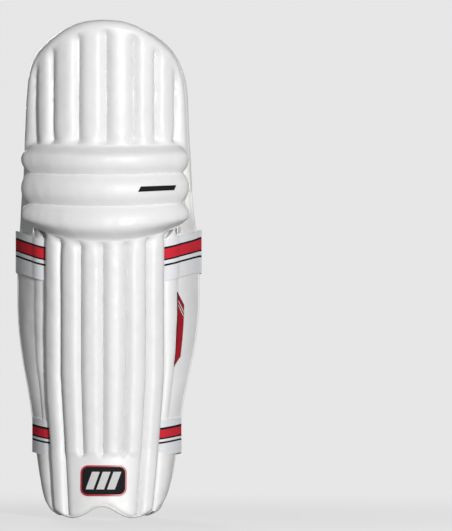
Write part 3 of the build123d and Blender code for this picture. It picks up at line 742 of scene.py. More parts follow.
def rib_reach(sine):
    """Radius, about the knee's axis, of the rib crowns under the lower roll."""
    x = 132.0 * np.abs(sine)
    d = SHIN_AXIS - np.sqrt(np.maximum((SHIN_GROOVE + RIB) ** 2 - x**2, 60.0**2))
    return np.maximum(np.hypot(x, HAT_AXIS - d), 126.0) + 0.2


def roll_shape(low_edge, high_edge, low_reach, high_reach):
    """A bent bolster between two curved edges, with round ends. Each edge of its face ends at a reach:
    a number for a sewn valley, or a function where it runs smoothly out on to the ribs."""
    t = np.sin(steps(-pi / 2, pi / 2, 150)) * 0.9985
    turn = t * np.arcsin(ROLL_END / 138.5)
    end = np.clip((np.abs(t) - 0.80) / 0.20, 0, 1)
    small = np.clip(1 - end**2.6, 0, 1) ** 0.5
    shares = np.sin(steps(-1, 1, 26) * pi / 2)
    sections = []
    for angle, scale in zip(turn, small):
        place = abs(140.0 * sin(angle))
        z0, z1 = float(low_edge(place)), float(high_edge(place))
        centre, half = (z0 + z1) / 2, (z1 - z0) / 2
        radii = []
        for share in shares:
            reach = low_reach if share < 0 else high_reach
            if callable(reach):
                edge = float(reach(sin(angle)))
                radii.append(edge + (ROLL_TOP - edge) * (1 + cos(pi * abs(share) ** 1.45)) / 2)
            else:
                radii.append(reach + (ROLL_TOP - reach) * (1 - abs(share) ** 2.4))
        back_share = steps(1, -1, 8)[1:-1]
        r = np.array([*radii, *([ROLL_BACK] * len(back_share))])
        z = np.array([*(centre + half * shares), *(centre + half * back_share)])
        scale = max(scale, 0.02)
        r = ROLL_MIDDLE + (r - ROLL_MIDDLE) * scale
        z = centre + (z - centre) * (0.10 + 0.90 * scale)
        sections.append(stack(r * sin(angle), HAT_AXIS - r * cos(angle), z))
    return np.array(sections)


lower_edge = lambda q: 379.5 + 22.0 * (q / 115.0) ** 2.2
fold_edge = lambda q: 428.4 + 5.0 * (q / 110.0) ** 2
second_edge = lambda q: 471.4 + 4.0 * (q / 110.0) ** 2
upper_edge = lambda q: 512.0 + 3.0 * (q / 110.0) ** 2
hat_reach = lambda sine: HAT_GROOVE + RIB + 0.2
ROLLS = {
    "lower": (lower_edge, lambda q: fold_edge(q) + 0.3, rib_reach, ROLL_VALLEY, "shin", 5.0),
    "middle": (lambda q: fold_edge(q) - 0.3, lambda q: second_edge(q) + 0.3, ROLL_VALLEY, ROLL_VALLEY,
               "knee_middle", 6.0),
    "upper": (lambda q: second_edge(q) - 0.3, upper_edge, ROLL_VALLEY, hat_reach, "top_hat", 7.0),
}  # fmt: skip
for label, (low, high, low_reach, high_reach, body, seed) in ROLLS.items():
    rings = roll_shape(low, high, low_reach, high_reach)
    middle = rings.mean(axis=1, keepdims=True)
    spread = rings - middle
    size = np.linalg.norm(spread, axis=2, keepdims=True)
    wrinkle = rumple(rings, 30.0, 0.8, seed) + rumple(rings * np.array([1, 1, 0.35]), 10.0, 0.35, seed + 3)
    rings = rings + spread / np.maximum(size, 1e-6) * np.minimum(size, 10) / 10 * wrinkle[..., None]
    wedge = 0.112 * np.clip(rings[..., 1] - FOLD_DEPTH, 0, None)
    if body != "top_hat":
        limit = (LOWER_FOLD if body == "shin" else UPPER_FOLD) + 3.0 - wedge
        rings[..., 2] = np.minimum(rings[..., 2], limit)
    if body != "shin":
        limit = (LOWER_FOLD if body == "knee_middle" else UPPER_FOLD) - 2.0 + wedge
        rings[..., 2] = np.maximum(rings[..., 2], limit)
    around = rings.shape[1]
    faces = [f[::-1] for f in ring_faces(len(rings), around)]
    flat = rings.reshape(-1, 3)
    # painted shade along the valleys where the rolls meet, at each roll's top and bottom edge
    gap = np.abs(flat[:, 2] - middle.repeat(around, axis=1).reshape(-1, 3)[:, 2])
    tall = (high(0) - low(0)) / 2
    crease_shade = np.clip((gap / tall - 0.90) / 0.10, 0, 1) ** 2 * 0.3
    roll = build(f"knee_roll_{label}", flat, faces, leather, marks={"crease_shade": crease_shade}, sharp=50)
    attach(roll, body)
    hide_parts(f"knee_roll_{label}_cover", f"knee_roll_{label}_filling")

# ---------------------------------------------------------------- edge roll and piping

rim_depth = through(
    (0, 46), (13, 50), (29, 55), (52, 65.5), (80, 74), (108, 77), (160, 77.6), (196, 84), (236, 97),
    (278, 107), (318, 110), (386, 110), (408, 97), (428, 87), (445, 85.5), (574, 86), (603, 85),
)  # fmt: skip


def rim_side(z):
    return half_width(z) - RIM_R - np.where(np.asarray(z) < 425, 1.6, 0.2)


FOOT_RIM = [(74.0, 53.0, 25.0), (67.0, 47.5, 13.5), (56.0, 40.0, 9.8), (43.0, 33.0, 16.5), (29.0, 28.5, 33.5),
            (15.0, 27.0, 49.0), (0.0, 26.8, 55.0)]  # fmt: skip
HAT_RIM = [(98.5, 84.0, 607.0), (91.0, 79.5, 628.0), (81.0, 68.0, 643.0), (67.0, 53.5, 655.0),
           (49.0, 41.0, 664.0), (26.0, 32.0, 669.5), (0.0, 29.0, 671.0)]  # fmt: skip


def soft_blend(piece, top):
    """Bakes a piece's placement into its mesh, the same way above the split as below it."""
    if top:
        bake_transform(piece)
    else:
        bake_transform(piece)


def mirrored(points):
    """A route down the right side, joined to its mirror image at x = 0."""
    return list(points) + [(-a, b, c) for a, b, c in reversed(list(points)[:-1])]


BELOW_SPLIT = (SPLIT, 440, 428, 418, 408, 397, 386, 366, 340)
ABOVE_SPLIT = (SPLIT, 462, 480, 500, 520, 545, 570, 590)
side_low = [(float(rim_side(q)), float(rim_depth(q)), q) for q in (*BELOW_SPLIT, *range(315, 40, -22))]
side_high = [(float(rim_side(q)), float(rim_depth(q)), q) for q in ABOVE_SPLIT]


def snapped(path):
    """Starts and ends exactly at the cut between the knee's two folds."""
    path = path.copy()
    for end, near in ((0, 1), (-1, -2)):
        path[end, 2] = SPLIT
        path[near, :2] = path[end, :2] + (path[near, :2] - path[end, :2]) * 0.5
    return path


rim_low = snapped(smooth_path(mirrored(side_low + FOOT_RIM), 420))
rim_high = snapped(smooth_path(mirrored(side_high + HAT_RIM), 260))
rim_low[[0, -1], :2] = rim_high[[0, -1], :2]
for name, path, top, nodes in (
    ("edge_roll_shin", rim_low, False, ("edge_roll_shin",)),
    ("edge_roll_top_hat", rim_high, True, ("edge_roll_top_hat", "edge_roll_knee")),
):
    bend = np.linalg.norm(np.gradient(np.gradient(path, axis=0), axis=0), axis=1)
    bend = np.convolve(bend, np.ones(9) / 9, mode="same")
    run = np.arange(len(path)) * path_length(path) / len(path)
    ends = np.minimum(1, np.minimum(np.arange(len(path)), np.arange(len(path))[::-1]) / 8)
    pleat = np.sin(run / 2.1 + 1.5 * np.sin(run / 11.0)) * np.clip(bend * 6, 0, 1) * 0.35
    radius = RIM_R + (pleat + 0.35 * np.sin(run / 19.0)) * ends
    roll = tube(name + "_cover", path, radius[:, None], cream, around=28)
    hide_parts(*nodes)
    soft_blend(roll, top)

# ---------------------------------------------------------------- lining shell

LINING_FRONT = 18.7  # depth of the lining on the centre line


def lining_half(z):
    return rim_side(np.minimum(z, 603.0)) - 5.0


lining_low = through((0, 59), (15, 53), (29, 37.5), (43, 20.5), (56, 13.8), (65, 17.0), (71, 28.0))
lining_high = through((0, 666), (26, 664.5), (49, 659), (67, 650), (80, 639), (89, 626), (94.5, 603))


def lining_depth(x, z):
    """Depth of the leg-side surface."""
    front = LINING_FRONT - kick(z)
    edge = rim_depth(np.minimum(z, 603.0)) - 4.0
    edge = edge + (34.0 - edge) * ease(603, 668, z) * 0.9
    front = front + 3.0 * ease(640, 668, z)
    reach = np.clip(np.abs(x) / np.maximum(lining_half(z), 1), 0, 1)
    return front + (edge - front) * reach**2.25


def lining_point(x, z):
    x, z = np.asarray(x, float), np.asarray(z, float)
    return stack(x, lining_depth(x, z), z)


cut_low = lambda q: np.full_like(q, SPLIT)
us = np.sin(steps(-1, 1, 81) * pi / 2)
linings = {
    "shin": (shell_grid(us, steps(0, 1, 130), lining_half, lining_low, cut_low), False,
             ("shin_lining", "shin_backing")),
    "top_hat": (shell_grid(us, steps(0, 1, 70), lining_half, cut_low, lining_high), True,
                ("top_hat_lining", "top_hat_backing", "knee_lining", "knee_backing")),
}  # fmt: skip
for label, ((x, z), top, nodes) in linings.items():
    plain = lining_point(x, z)
    at_split = 0 if top else -1
    folds = rumple(plain * np.array([1.0, 0.5, 0.16]), 7.0, 1.5, 11.0) * ease(606, 624, z)
    inner = offset(plain, -folds * (1 - np.abs(us) ** 8)[None, :])
    inner[at_split] = plain[at_split]
    outer_side = offset(plain, 6.6)
    outer_side[at_split, :, 2] = SPLIT
    sheet_piece = slab(f"{label}_lining_shell", outer_side, inner, lining_cloth)
    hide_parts(*nodes)
    soft_blend(sheet_piece, top)

# ---------------------------------------------------------------- calf wings


def wing_curve(side, t, z):
    """The outer face of a wing at one height: t 0 under the outer rib, 1 at the pad's edge."""
    root_turn = np.radians(SHIN_HALF) * foot_taper(z)
    root = SHIN_GROOVE - 1.0
    root_x = root * np.sin(root_turn)
    root_d = SHIN_AXIS - root * np.cos(root_turn) - kick(z)
    edge_x = np.maximum(half_width(z) - 1.4, root_x + 1.5)
    edge_d = np.maximum(rim_depth(z) - 3.0, root_d + 1.0)
    edge_d = root_d + (edge_d - root_d) * ease(2, 34, z)
    mid_x = root_x + 0.56 * (edge_x - root_x)
    mid_d = root_d + 0.10 * (edge_d - root_d)
    x = (1 - t) ** 2 * root_x + 2 * t * (1 - t) * mid_x + t * t * edge_x
    d = (1 - t) ** 2 * root_d + 2 * t * (1 - t) * mid_d + t * t * edge_d
    return stack(side * x, d, z)


def wing_bulge(t, z):
    """How far the padded wing stands out past its plain curve."""
    strip = 4.5 * np.sin(pi * np.clip(t / 0.42, 0, 1)) ** 0.8
    low = 5.0 * (1 - ease(78, 120, z)) * np.sin(pi * np.clip(t, 0, 1)) ** 0.7
    return strip * ease(95, 150, z) * 0.6 + low


WING_FOOT = 9.0
wing_top = lambda t: 383.0 + 37.0 * ease(0.0, 0.75, t)
for label, side in SIDES:
    ts = steps(0, 1, 40)
    vs = np.sort(np.concatenate([steps(0, 1, 120), [0.003]]))
    t, v = np.meshgrid(ts if side > 0 else ts[::-1], vs)
    z = WING_FOOT + v * (wing_top(t) - WING_FOOT)
    face = wing_curve(side, t, z)
    puff = wing_bulge(t, z) + rumple(face, 40.0, 1.6, 20.0 + side) * np.sin(pi * t)
    puff = puff + rumple(face * np.array([0.5, 0.5, 1.0]), 12.0, 0.5, 22.0 + side) * np.sin(pi * t)
    thick = 3.0 * (1 - t) ** 0.7 + 1.6
    # painted shade along the wing's root, in the corner beside the outer rib
    crease_shade = np.clip(1 - t / 0.05, 0, 1) * 0.8
    shown, hidden = offset(face, puff), offset(face, -thick)
    wing = slab(f"calf_wing_{label}", shown, hidden, leather, {"crease_shade": crease_shade}, sharp=60)
    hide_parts(f"wing_cover_{label}")
    if side > 0:
        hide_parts("wing_fillings")
    soft_blend(wing, False)

# ---------------------------------------------------------------- foot gusset and piping

FOOT_HALF = 76.0  # half the width of the gusset
GUSSET_RADIUS = 104.0
foot_x = steps(-FOOT_HALF, FOOT_HALF, 61)
foot_turn = np.arcsin(foot_x / GUSSET_RADIUS)
foot_z = foot_edge(np.abs(foot_x))
foot_d = SHIN_AXIS - GUSSET_RADIUS * np.cos(foot_turn) - kick(foot_z)
outer_line = stack(foot_x, foot_d, foot_z + 1.2)
rim_foot = rim_low[rim_low[:, 2] < 60.0]
rim_foot = rim_foot[np.argsort(rim_foot[:, 0])]
inner_line = resample(rim_foot[np.abs(rim_foot[:, 0]) < FOOT_HALF], 61)
share = steps(0, 1, 16)[:, None, None]
grid = outer_line * (1 - share) + inner_line * share
grid[..., 2] -= 2.5 * np.sin(pi * share[..., 0]) * np.sin(steps(0, pi, 61))
grid[..., 2] = np.maximum(grid[..., 2], 0.6)
gusset = slab("instep_gusset", grid, offset(grid, -1.4), cream)
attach(gusset, "shin")


def front_arc(q, radius, axis):
    """Depth of an arc about one of the pad's two axes, at a distance from the middle."""
    return axis - radius * cos(float(np.arcsin(q / radius)))


def crown_line(narrow, deeper):
    """The top hat's upper edge from its side to the middle, drawn in a little."""
    places = (104, 96, 86, 74, 60, 45, 30, 15, 0)
    return [(q * narrow, front_arc(q, 124.0, HAT_AXIS) + deeper, float(top_edge(q)) - 6.0) for q in places]


edge_low = []
for q in BELOW_SPLIT:
    depth = float(rim_depth(q)) - 5.0 + 3.0 * float(ease(425, 400, q))
    edge_low.append((float(half_width(q)) - 1.7, depth, q))
for q in range(318, 30, -18):
    edge_low.append((float(half_width(q)) - 1.7, float(rim_depth(q)) - 1.6, q))
for q, drop in ((80, 22), (74, 14.5), (67, 9.0)):
    edge_low.append((q - 1.0, 14.0 + 1.9 * (q - 62), drop + 1.5))
for q in (60, 52, 44, 36, 28, 20, 10, 0):
    depth = front_arc(q, 107.0, SHIN_AXIS) - float(kick(3)) + 2.0
    edge_low.append((float(q), depth, float(foot_edge(q)) + 1.6))
edge_high = []
for q in (*ABOVE_SPLIT, 603):
    across = float(half_width(q)) - 3.2 - 1.6 * float(ease(460, 500, q))
    edge_high.append((across, 78.0 + 3.0 * float(ease(460, 490, q)), q))
piping_low = snapped(smooth_path(mirrored(edge_low), 420))
piping_high = snapped(smooth_path(mirrored(edge_high + crown_line(0.975, 9.0)), 260))
piping_low[[0, -1]] = piping_high[[0, -1]]
for name, path, top in (("piping_shin", piping_low, False), ("piping_top_hat", piping_high, True)):
    piping = tube(name, path, 1.7, cream, around=10)
    soft_blend(piping, top)

# ---------------------------------------------------------------- side walls

# They close the gap between the outer covers and the edge roll.
BEHIND_ROLLS = (99.0, 51.0)  # where a side wall starts, tucked behind the knee rolls
wall_high = [(*BEHIND_ROLLS, q) for q in (SPLIT, 462, 480, 500)] + [(106.0, 60.0, 518)]
wall_high += [(float(half_width(q)) - 4.0, 62.0, q) for q in (540, 570, 590, 603)]
wall_high += crown_line(0.985, -3.5)
wall_low = [(*BEHIND_ROLLS, q) for q in (SPLIT, 440, 428, 416, 404, 392)]
# each wall: name, outer line, inner line, whether it is above the split, and its columns at the split
walls = [("side_wall_top_hat", snapped(smooth_path(mirrored(wall_high), 260)), rim_high, True, [0, -1])]
for label, side in SIDES:
    outer_line = smooth_path(wall_low, 60) * np.array([side, 1, 1])
    near = rim_low[(rim_low[:, 2] > 391) & (rim_low[:, 0] * side > 0)]
    near = resample(near[np.argsort(-near[:, 2])], 60)
    at_split = [-1 if side > 0 else 0]
    walls.append((f"side_wall_knee_{label}", outer_line[::-side], near[::-side], False, at_split))
for name, outer_line, inner_line, top, at_split in walls:
    share = steps(0, 1, 12)[:, None, None]
    grid = outer_line * (1 - share) + inner_line * share
    grid = offset(grid, 2.0 * np.sin(pi * share[..., 0]))
    grid[:, at_split, 2] = SPLIT
    wall = slab(name, grid, offset(grid, -1.5), leather)
    soft_blend(wall, top)

# ---------------------------------------------------------------- plates


def shape_piece(name, outline, surface, material, body, slot_name, nodes=(), **options):
    """A print or plate that rides on a body: its outline laid on a surface."""
    piece = decal(name, outline, surface, material, **options)
    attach(piece, body)
    if nodes:
        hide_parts(*nodes)


# ---------------------------------------------------------------- cushions on the leg side

cushion_out = through(
    (32, 42), (40, 50), (60, 52.5), (77, 54), (110, 58), (148, 64), (203, 71), (238, 81), (258, 88),
    (300, 90), (395, 87), (440, 82), (478, 76), (512, 72),
)  # fmt: skip
cushion_in = through((32, 40), (38, 32), (60, 29), (120, 31), (300, 34), (395, 32.5), (512, 31))
CUSHION_LOW, CUSHION_HIGH = 32.0, 512.0
CENTRE_LOW = 122.0
CENTRE_SWELL = 9.0


def quilting(under, seed):
    """Soft waves of a cushion's cloth."""
    return rumple(under * np.array([1.0, 1.0, 0.45]), 16.0, 2.2, seed) + rumple(under, 6.0, 0.7, seed + 1)


def rounded_ends(z, low, foot):
    """A share from 0 to 1 that rounds off a cushion's foot, of the given length, and its top."""
    foot = 1 - np.clip((z - low) / foot, 0, 1)
    lip = 1 - np.clip((CUSHION_HIGH - z) / 9.0, 0, 1)
    return np.sqrt(np.clip(1 - foot**2.4, 0, 1)) * np.sqrt(np.clip(1 - lip**2.2, 0, 1))


def strip_body(side, low, high, inner_x, outer_x, swell, seed, rows):
    """A long cushion on the lining: the places of its grid, how far each one rises, and its heights."""
    ts = np.sin(steps(-1, 1, 30) * pi / 2)
    t, z = np.meshgrid(ts if side >= 0 else ts[::-1], steps(low, high, rows))
    x = inner_x(z) + (outer_x(z) - inner_x(z)) * (t + 1) / 2
    under = lining_point(x * (side if side else 1), z)
    reach = np.clip(1 - np.abs(t) ** 2.6, 0, 1) ** 0.5
    return under, swell * reach + quilting(under, seed) * reach, z


def fill_out(piece, held, pressure=4.0, slack=0.05, cap=4.0, last_frame=20):
    """Swells a padded piece as cloth under inside pressure, and keeps the shape. Held points stay fixed."""
    group = piece.vertex_groups.new(name="held")
    group.add([int(i) for i in np.flatnonzero(held)], 1.0, "REPLACE")
    cloth = piece.modifiers.new("cloth", "CLOTH")
    cloth.settings.vertex_group_mass = "held"
    cloth.settings.use_pressure = True
    cloth.settings.uniform_pressure_force = pressure
    cloth.settings.shrink_min = -slack
    cloth.settings.effector_weights.gravity = 0.0
    cloth.settings.quality = 6
    cloth.point_cache.frame_start, cloth.point_cache.frame_end = 1, last_frame
    for frame_number in range(1, last_frame + 1):
        bpy.context.scene.frame_set(frame_number)
    solved = piece.evaluated_get(bpy.context.evaluated_depsgraph_get()).data
    count = len(piece.data.vertices)
    rest, moved = np.empty(count * 3), np.empty(count * 3)
    piece.data.vertices.foreach_get("co", rest)
    solved.vertices.foreach_get("co", moved)
    piece.modifiers.remove(cloth)
    piece.vertex_groups.remove(group)
    bpy.context.scene.frame_set(1)
    push = (moved - rest).reshape(-1, 3)
    length = np.maximum(np.linalg.norm(push, axis=1, keepdims=True), 1e-9)
    push *= np.tanh(length / (cap * MM)) * cap * MM / length
    piece.data.vertices.foreach_set("co", rest + push.ravel())
    piece.data.update()
    print("filled out", piece.name, "mean mm", float(length.mean()) / MM, "most mm", float(length.max()) / MM)


for label, side in SIDES:
    for top in (False, True):
        low, high = (SPLIT, CUSHION_HIGH) if top else (CUSHION_LOW, SPLIT)
        rows = 30 if top else 170
        under, crown, z = strip_body(side, low, high, cushion_in, cushion_out, 15.5, 30.0 + side, rows)
        shown = offset(under, -(0.25 + crown * rounded_ends(z, CUSHION_LOW, 22.0)))
        shown[0 if top else -1, :, 2] = SPLIT
        name = f"leg_cushion_{label}_{'upper' if top else 'lower'}"
        cushion = slab(name, under, shown, cushion_cloth, sharp=75)
        held = np.zeros(shown.shape[:2], bool)
        held[[0, -1]] = held[:, [0, -1]] = True
        held[slice(0, 3) if top else slice(-3, None)] = True
        fill_out(cushion, np.concatenate([np.ones(held.size, bool), held.ravel()]))
        if top and side > 0:
            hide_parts("inner_cushions_top_hat", "inner_cushions_knee")
        if not top:
            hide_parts(f"inner_cushion_{label}")
        soft_blend(cushion, top)

left_x = through((0, -30.0), (300, -33.0), (512, -29.5))
right_x = through((0, 30.0), (300, 33.0), (512, 29.5))
for top in (False, True):
    low, high = (SPLIT, CUSHION_HIGH) if top else (CENTRE_LOW, SPLIT)
    under, crown, z = strip_body(0, low, high, left_x, right_x, CENTRE_SWELL, 40.0, 24 if top else 120)
    crown = crown * rounded_ends(z, CENTRE_LOW, 14.0)
    shown = offset(under, -(0.25 + np.clip(crown, 0, None)))
    shown[0 if top else -1, :, 2] = SPLIT
    centre = slab(f"leg_cushion_centre_{'upper' if top else 'lower'}", under, shown, red_weave, sharp=75)
    if not top:
        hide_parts("inner_cushion_centre")
    soft_blend(centre, top)


def centre_surface(a, b):
    """The leg side of the centre cushion, seen from behind."""
    under = lining_point(-a, b)
    reach = np.clip(1 - np.clip(np.abs(a) / right_x(b), 0, 1) ** 2.6, 0, 1) ** 0.5
    rise = 0.6 + (CENTRE_SWELL + quilting(under, 40.0)) * reach
    return under + np.array([0, 1.0, 0]) * rise[..., None]


CHEVRON, CHEVRON_TALL, CHEVRON_BAND = 11.0, 9.0, 6.5
for i, low in enumerate((206.0, 224.0, 242.0, 260.0, 278.0, 296.0, 386.0)):
    high = low + CHEVRON_TALL
    chevron = [(-CHEVRON, low), (0.0, high), (CHEVRON, low)]
    chevron += [(CHEVRON, low + CHEVRON_BAND), (0.0, high + CHEVRON_BAND), (-CHEVRON, low + CHEVRON_BAND)]
    shape_piece(f"centre_chevron_{i + 1}", chevron[::-1], centre_surface, white_print, "shin", "lining_print",
                lift=0.5, cell=3.0, under=0.6)  # fmt: skip

for label, side in SIDES:
    for top in (False, True):
        z = steps(SPLIT, CUSHION_HIGH - 1, 30) if top else steps(CENTRE_LOW + 2, SPLIT, 120)
        line = lining_point(side * (right_x(z) + 0.6), z) + np.array([0, 1.6, 0])
        edge = tube(f"centre_edge_{label}_{'upper' if top else 'lower'}", line, 1.1, cushion_cloth, around=10)
        soft_blend(edge, top)

# ---------------------------------------------------------------- straps


TAPE = 1.7  # thickness of the webbing
WEB_BACK = 1.8  # from the hinge to the side web's end, which lets the strap turn round it
LAP = 1.2  # from the hinge to the strap's end, under the side web


def band(name, path, width, material):
    """A flat strip of webbing along a route, its width upright. The width may change along the route."""
    sides = steps(-0.5, 0.5, 9)
    face = np.repeat(path[None], len(sides), axis=0)
    face[..., 2] += sides[:, None] * width
    uv = flat_map(run_along(path), (0.5 - sides) * np.max(width))
    return slab(name, offset(face, TAPE / 2), offset(face, -TAPE / 2), material, uv=uv)


# Heights of the webbing's middle at the outer rib, the pad's edge, and the back's +X and -X sides. Then its
# width, the height at which it passes the edge roll, the x and depth of its hinge, and where the -X side web,
# the peeling end and the stitched seams are.
STRAPS = {
    "knee": dict(rib=353.0, edge=366.5, right=361.0, left=350.0, width=62.0, tape=knee_tape, rim_z=355.0,
                 fixed=112.0, hinge=121.15, free=60.0, tab=(62.0, 88.0), seams=(97.0, 100.5, -55.0)),
    "ankle": dict(rib=108.0, edge=113.0, right=110.0, left=109.0, width=53.5, tape=ankle_tape, rim_z=110.0,
                  fixed=86.0, hinge=88.15, free=42.0, tab=(44.0, 70.0), seams=(78.0, 81.0, -38.0)),
}  # fmt: skip


def side_web(label, s, side, word, rear):
    """The webbing from the outer rib, over the wing and round the edge roll, to the back."""
    rim_x, rim_d = float(rim_side(s["rim_z"])), float(rim_depth(s["rim_z"]))
    ts = steps(0.02, 1.0, 26)
    mid_z = s["rib"] + (s["edge"] - s["rib"]) * ts
    flat = wing_curve(1, ts, mid_z)
    grid = np.stack([flat - np.array([0, 0, 1.0]), flat + np.array([0, 0, 1.0])])
    puff = wing_bulge(ts, mid_z) + 1.9
    over_wing = offset(grid, np.stack([puff, puff])).mean(axis=0)
    turns = steps(-0.15, 1.0, 14)[1:] * pi / 2
    reach = RIM_R + 3.5
    far = s["right"] if side > 0 else s["left"]
    half_way = s["edge"] + (far - s["edge"]) * 0.5
    climb = np.linspace(s["edge"], half_way, len(turns))
    round_rim = stack(rim_x + reach * np.cos(turns), rim_d + reach * np.sin(turns), climb)
    stop = s["fixed"] + WEB_BACK if side > 0 else s["free"]
    ahead = steps(rim_x - 3, stop, 12) if rim_x - 3 > stop else np.array([stop])
    depth = s["hinge"] + TAPE / 2 + 0.1 if side > 0 else rear + 0.4
    straight = stack(ahead, depth, np.linspace(half_way, far, len(ahead) + 1)[1:])
    route = smooth_path(np.vstack([over_wing, round_rim, straight]), 90)
    wide = s["width"] * (0.91 + 0.09 * ease(0.5, 0.95, steps(0, 1, len(route))))
    if side < 0:
        route[:, 0] *= -1
        route, wide = route[::-1], wide[::-1]
    web = band(f"{label}_strap_web_{word}", route, wide, s["tape"])
    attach(web, "shin")
    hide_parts(f"{label}_strap_side_web_{word}")


def back_strap(label, s, rear, deep):
    """The strap across the back. Its hinge lies between its outer face and the inner face of the side web."""
    depth = s["hinge"] - TAPE / 2 - 0.05
    middle = (s["right"] + s["left"]) / 2
    route = [(s["fixed"] + LAP, depth, s["right"]), (s["fixed"] - 3, depth, s["right"])]
    route += [(s["fixed"] - 16, rear + 0.6, s["right"])]
    route += [(s["fixed"] * 0.4, rear + 2.4, middle + 1), (0, rear + 3.2, middle)]
    route += [(-s["free"] * 0.6, deep, s["left"] + 1), (-s["tab"][0] + 0.2, deep, s["left"])]
    route = smooth_path(route, 80)[::-1]
    strap = band(f"{label}_strap_webbing", route, s["width"], s["tape"])
    rows = []
    up = steps(-0.5, 0.5, 24)[1:-1] * s["width"]
    for place in s["seams"]:
        depth, height = (np.interp(place, route[:, 0], route[:, i]) for i in (1, 2))
        rows.append((stack(place, depth + TAPE / 2, height + up), (0, 1, 0)))
    seam = stitched(f"{label}_strap_stitches", rows, thread, pitch=3.4, length=2.4, radius=0.5)
    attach(seam, f"{label}_strap")
    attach(strap, f"{label}_strap")
    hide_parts(f"{label}_strap")


def peeling_end(label, s, deep):
    """The hook-and-loop end of a strap, and the moulded ring round it."""
    start, end = s["tab"]
    left = s["left"]
    route = [(-start - 0.2, deep, left), (-(start + end) / 2, deep, left), (-end + 1, deep, left - 0.5)]
    tab = band(f"{label}_strap_tab_webbing", smooth_path(route, 24)[::-1], s["width"], s["tape"])
    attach(tab, f"{label}_strap_tab")
    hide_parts(f"{label}_strap_tab")
    depth = deep + 0.9  # clear of the loop patch under it
    loop = rounded_rectangle(-end - 4.0, left, 22.0, s["width"] + 9.2, 9.0, 8)
    count, around = 120, 16
    loop = resample(np.array([(a, depth, b) for a, b in loop + loop[:1]]), count + 1)
    turn = np.arange(around) / around * 2 * pi
    section = 2.9 * (np.abs(np.cos(turn)) ** 2.6 + (np.abs(np.sin(turn)) / 0.55) ** 2.6) ** (-1 / 2.6)
    verts = swept(loop, section[None, :], around)[:-1].reshape(-1, 3)
    faces = []
    for r in range(count):
        here, beyond = r * around, (r + 1) % count * around
        for c in range(around):
            after = (c + 1) % around
            faces.append((here + c, here + after, beyond + after, beyond + c))
    ring = build(f"{label}_strap_ring", verts, faces, white_plastic, sharp=70)
    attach(ring, f"{label}_strap_tab")
    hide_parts(f"{label}_strap_end_ring")


for label, s in STRAPS.items():
    rear = float(rim_depth(s["rim_z"])) + RIM_R + 1.9
    deep = rear + 3.6
    side_web(label, s, 1, "right", rear)
    side_web(label, s, -1, "left", rear)
    back_strap(label, s, rear, deep)
    peeling_end(label, s, deep)

for node in ("strap_loop_patches", "knee_strap_hook_patch", "ankle_strap_hook_patch"):
    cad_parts[node].data.materials.clear()
    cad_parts[node].data.materials.append(hook_tape)

# ---------------------------------------------------------------- badge, label, marks and prints


def instep_surface(a, b):
    radius = SHIN_GROOVE + RIB * 0.80 + 0.3
    return stack(a, SHIN_AXIS - np.sqrt(radius**2 - a**2) - kick(b), b)


BADGE = (1.5, 51.5)
border, field = rounded_rectangle(*BADGE, 63, 42, 10), rounded_rectangle(*BADGE, 58.5, 37.5, 8)
shape_piece("badge_border", border, instep_surface, badge_red, "shin", "badge", ("instep_badge",),
            lift=1.0, under=2.0)  # fmt: skip
shape_piece("badge_field", field, instep_surface, badge_dark, "shin", "badge", lift=1.4)
for i, cx in enumerate((-24.0, -9.5, 5.0)):
    low, high = BADGE[1] - 12.0, BADGE[1] + 12.0
    left = BADGE[0] + cx
    bar = [(left, low), (left + 10.5, low), (left + 19.0, high), (left + 8.5, high)]
    shape_piece(f"badge_bar_{i + 1}", bar, instep_surface, badge_light, "shin", "badge", lift=1.9)


def roll_surface(a, b):
    low, high = fold_edge(np.abs(a)), second_edge(np.abs(a))
    middle, tall = (low + high) / 2, (high - low) / 2
    rise = np.clip(np.abs(b - middle) / tall, 0, 1)
    radius = ROLL_VALLEY + (ROLL_TOP - ROLL_VALLEY) * (1 - rise**2.4) + 0.5
    return stack(a, HAT_AXIS - np.sqrt(radius**2 - a**2), b)


mark = [(49.5, 447.8), (97.0, 450.5), (99.5, 457.2), (53.0, 455.0)]
shape_piece("knee_roll_bar", mark, roll_surface, ink_print, "knee_middle", "print_black", ("knee_roll_mark",),
            lift=0.7, cell=3.0)  # fmt: skip


def wing_face(a, b):
    t = np.clip(a, 0, 1)
    point = wing_curve(1, t, b)
    tiny = 0.004
    along = wing_curve(1, t + tiny, b) - wing_curve(1, t - tiny, b)
    up = wing_curve(1, t, b + 0.5) - wing_curve(1, t, b - 0.5)
    normal = np.cross(along, up)
    normal /= np.linalg.norm(normal, axis=-1, keepdims=True)
    return point + normal * (wing_bulge(t, b) + 0.3)[..., None]


LABEL = [(0.40, 307.0), (0.57, 290.0), (0.57, 222.0), (0.40, 210.0)]
LABEL_EDGE = [(0.39, 310.5), (0.58, 292.0), (0.58, 221.0), (0.39, 207.0)]
shape_piece("wing_label_edge", LABEL_EDGE, wing_face, ink_print, "shin", "printed_red", lift=0.5, cell=0.04)
shape_piece("wing_label_print", LABEL, wing_face, red_print, "shin", "printed_red", ("wing_label",),
            lift=0.8, cell=0.04)  # fmt: skip
for i, (drop, material) in enumerate(((7.0, white_print), (9.5, ink_print), (12.5, white_print))):
    stripe = [(0.41, 305.5 - drop), (0.56, 290.5 - drop), (0.56, 288.8 - drop), (0.41, 303.8 - drop)]
    shape_piece(f"wing_label_stripe_{i + 1}", stripe, wing_face, material, "shin", "printed_red",
                lift=1.1, cell=0.04)  # fmt: skip


def leg_side(a, b):
    """The lining seen from behind, with its plates laid towards the leg."""
    return lining_point(-a, b) + np.array([0, 0.35, 0])


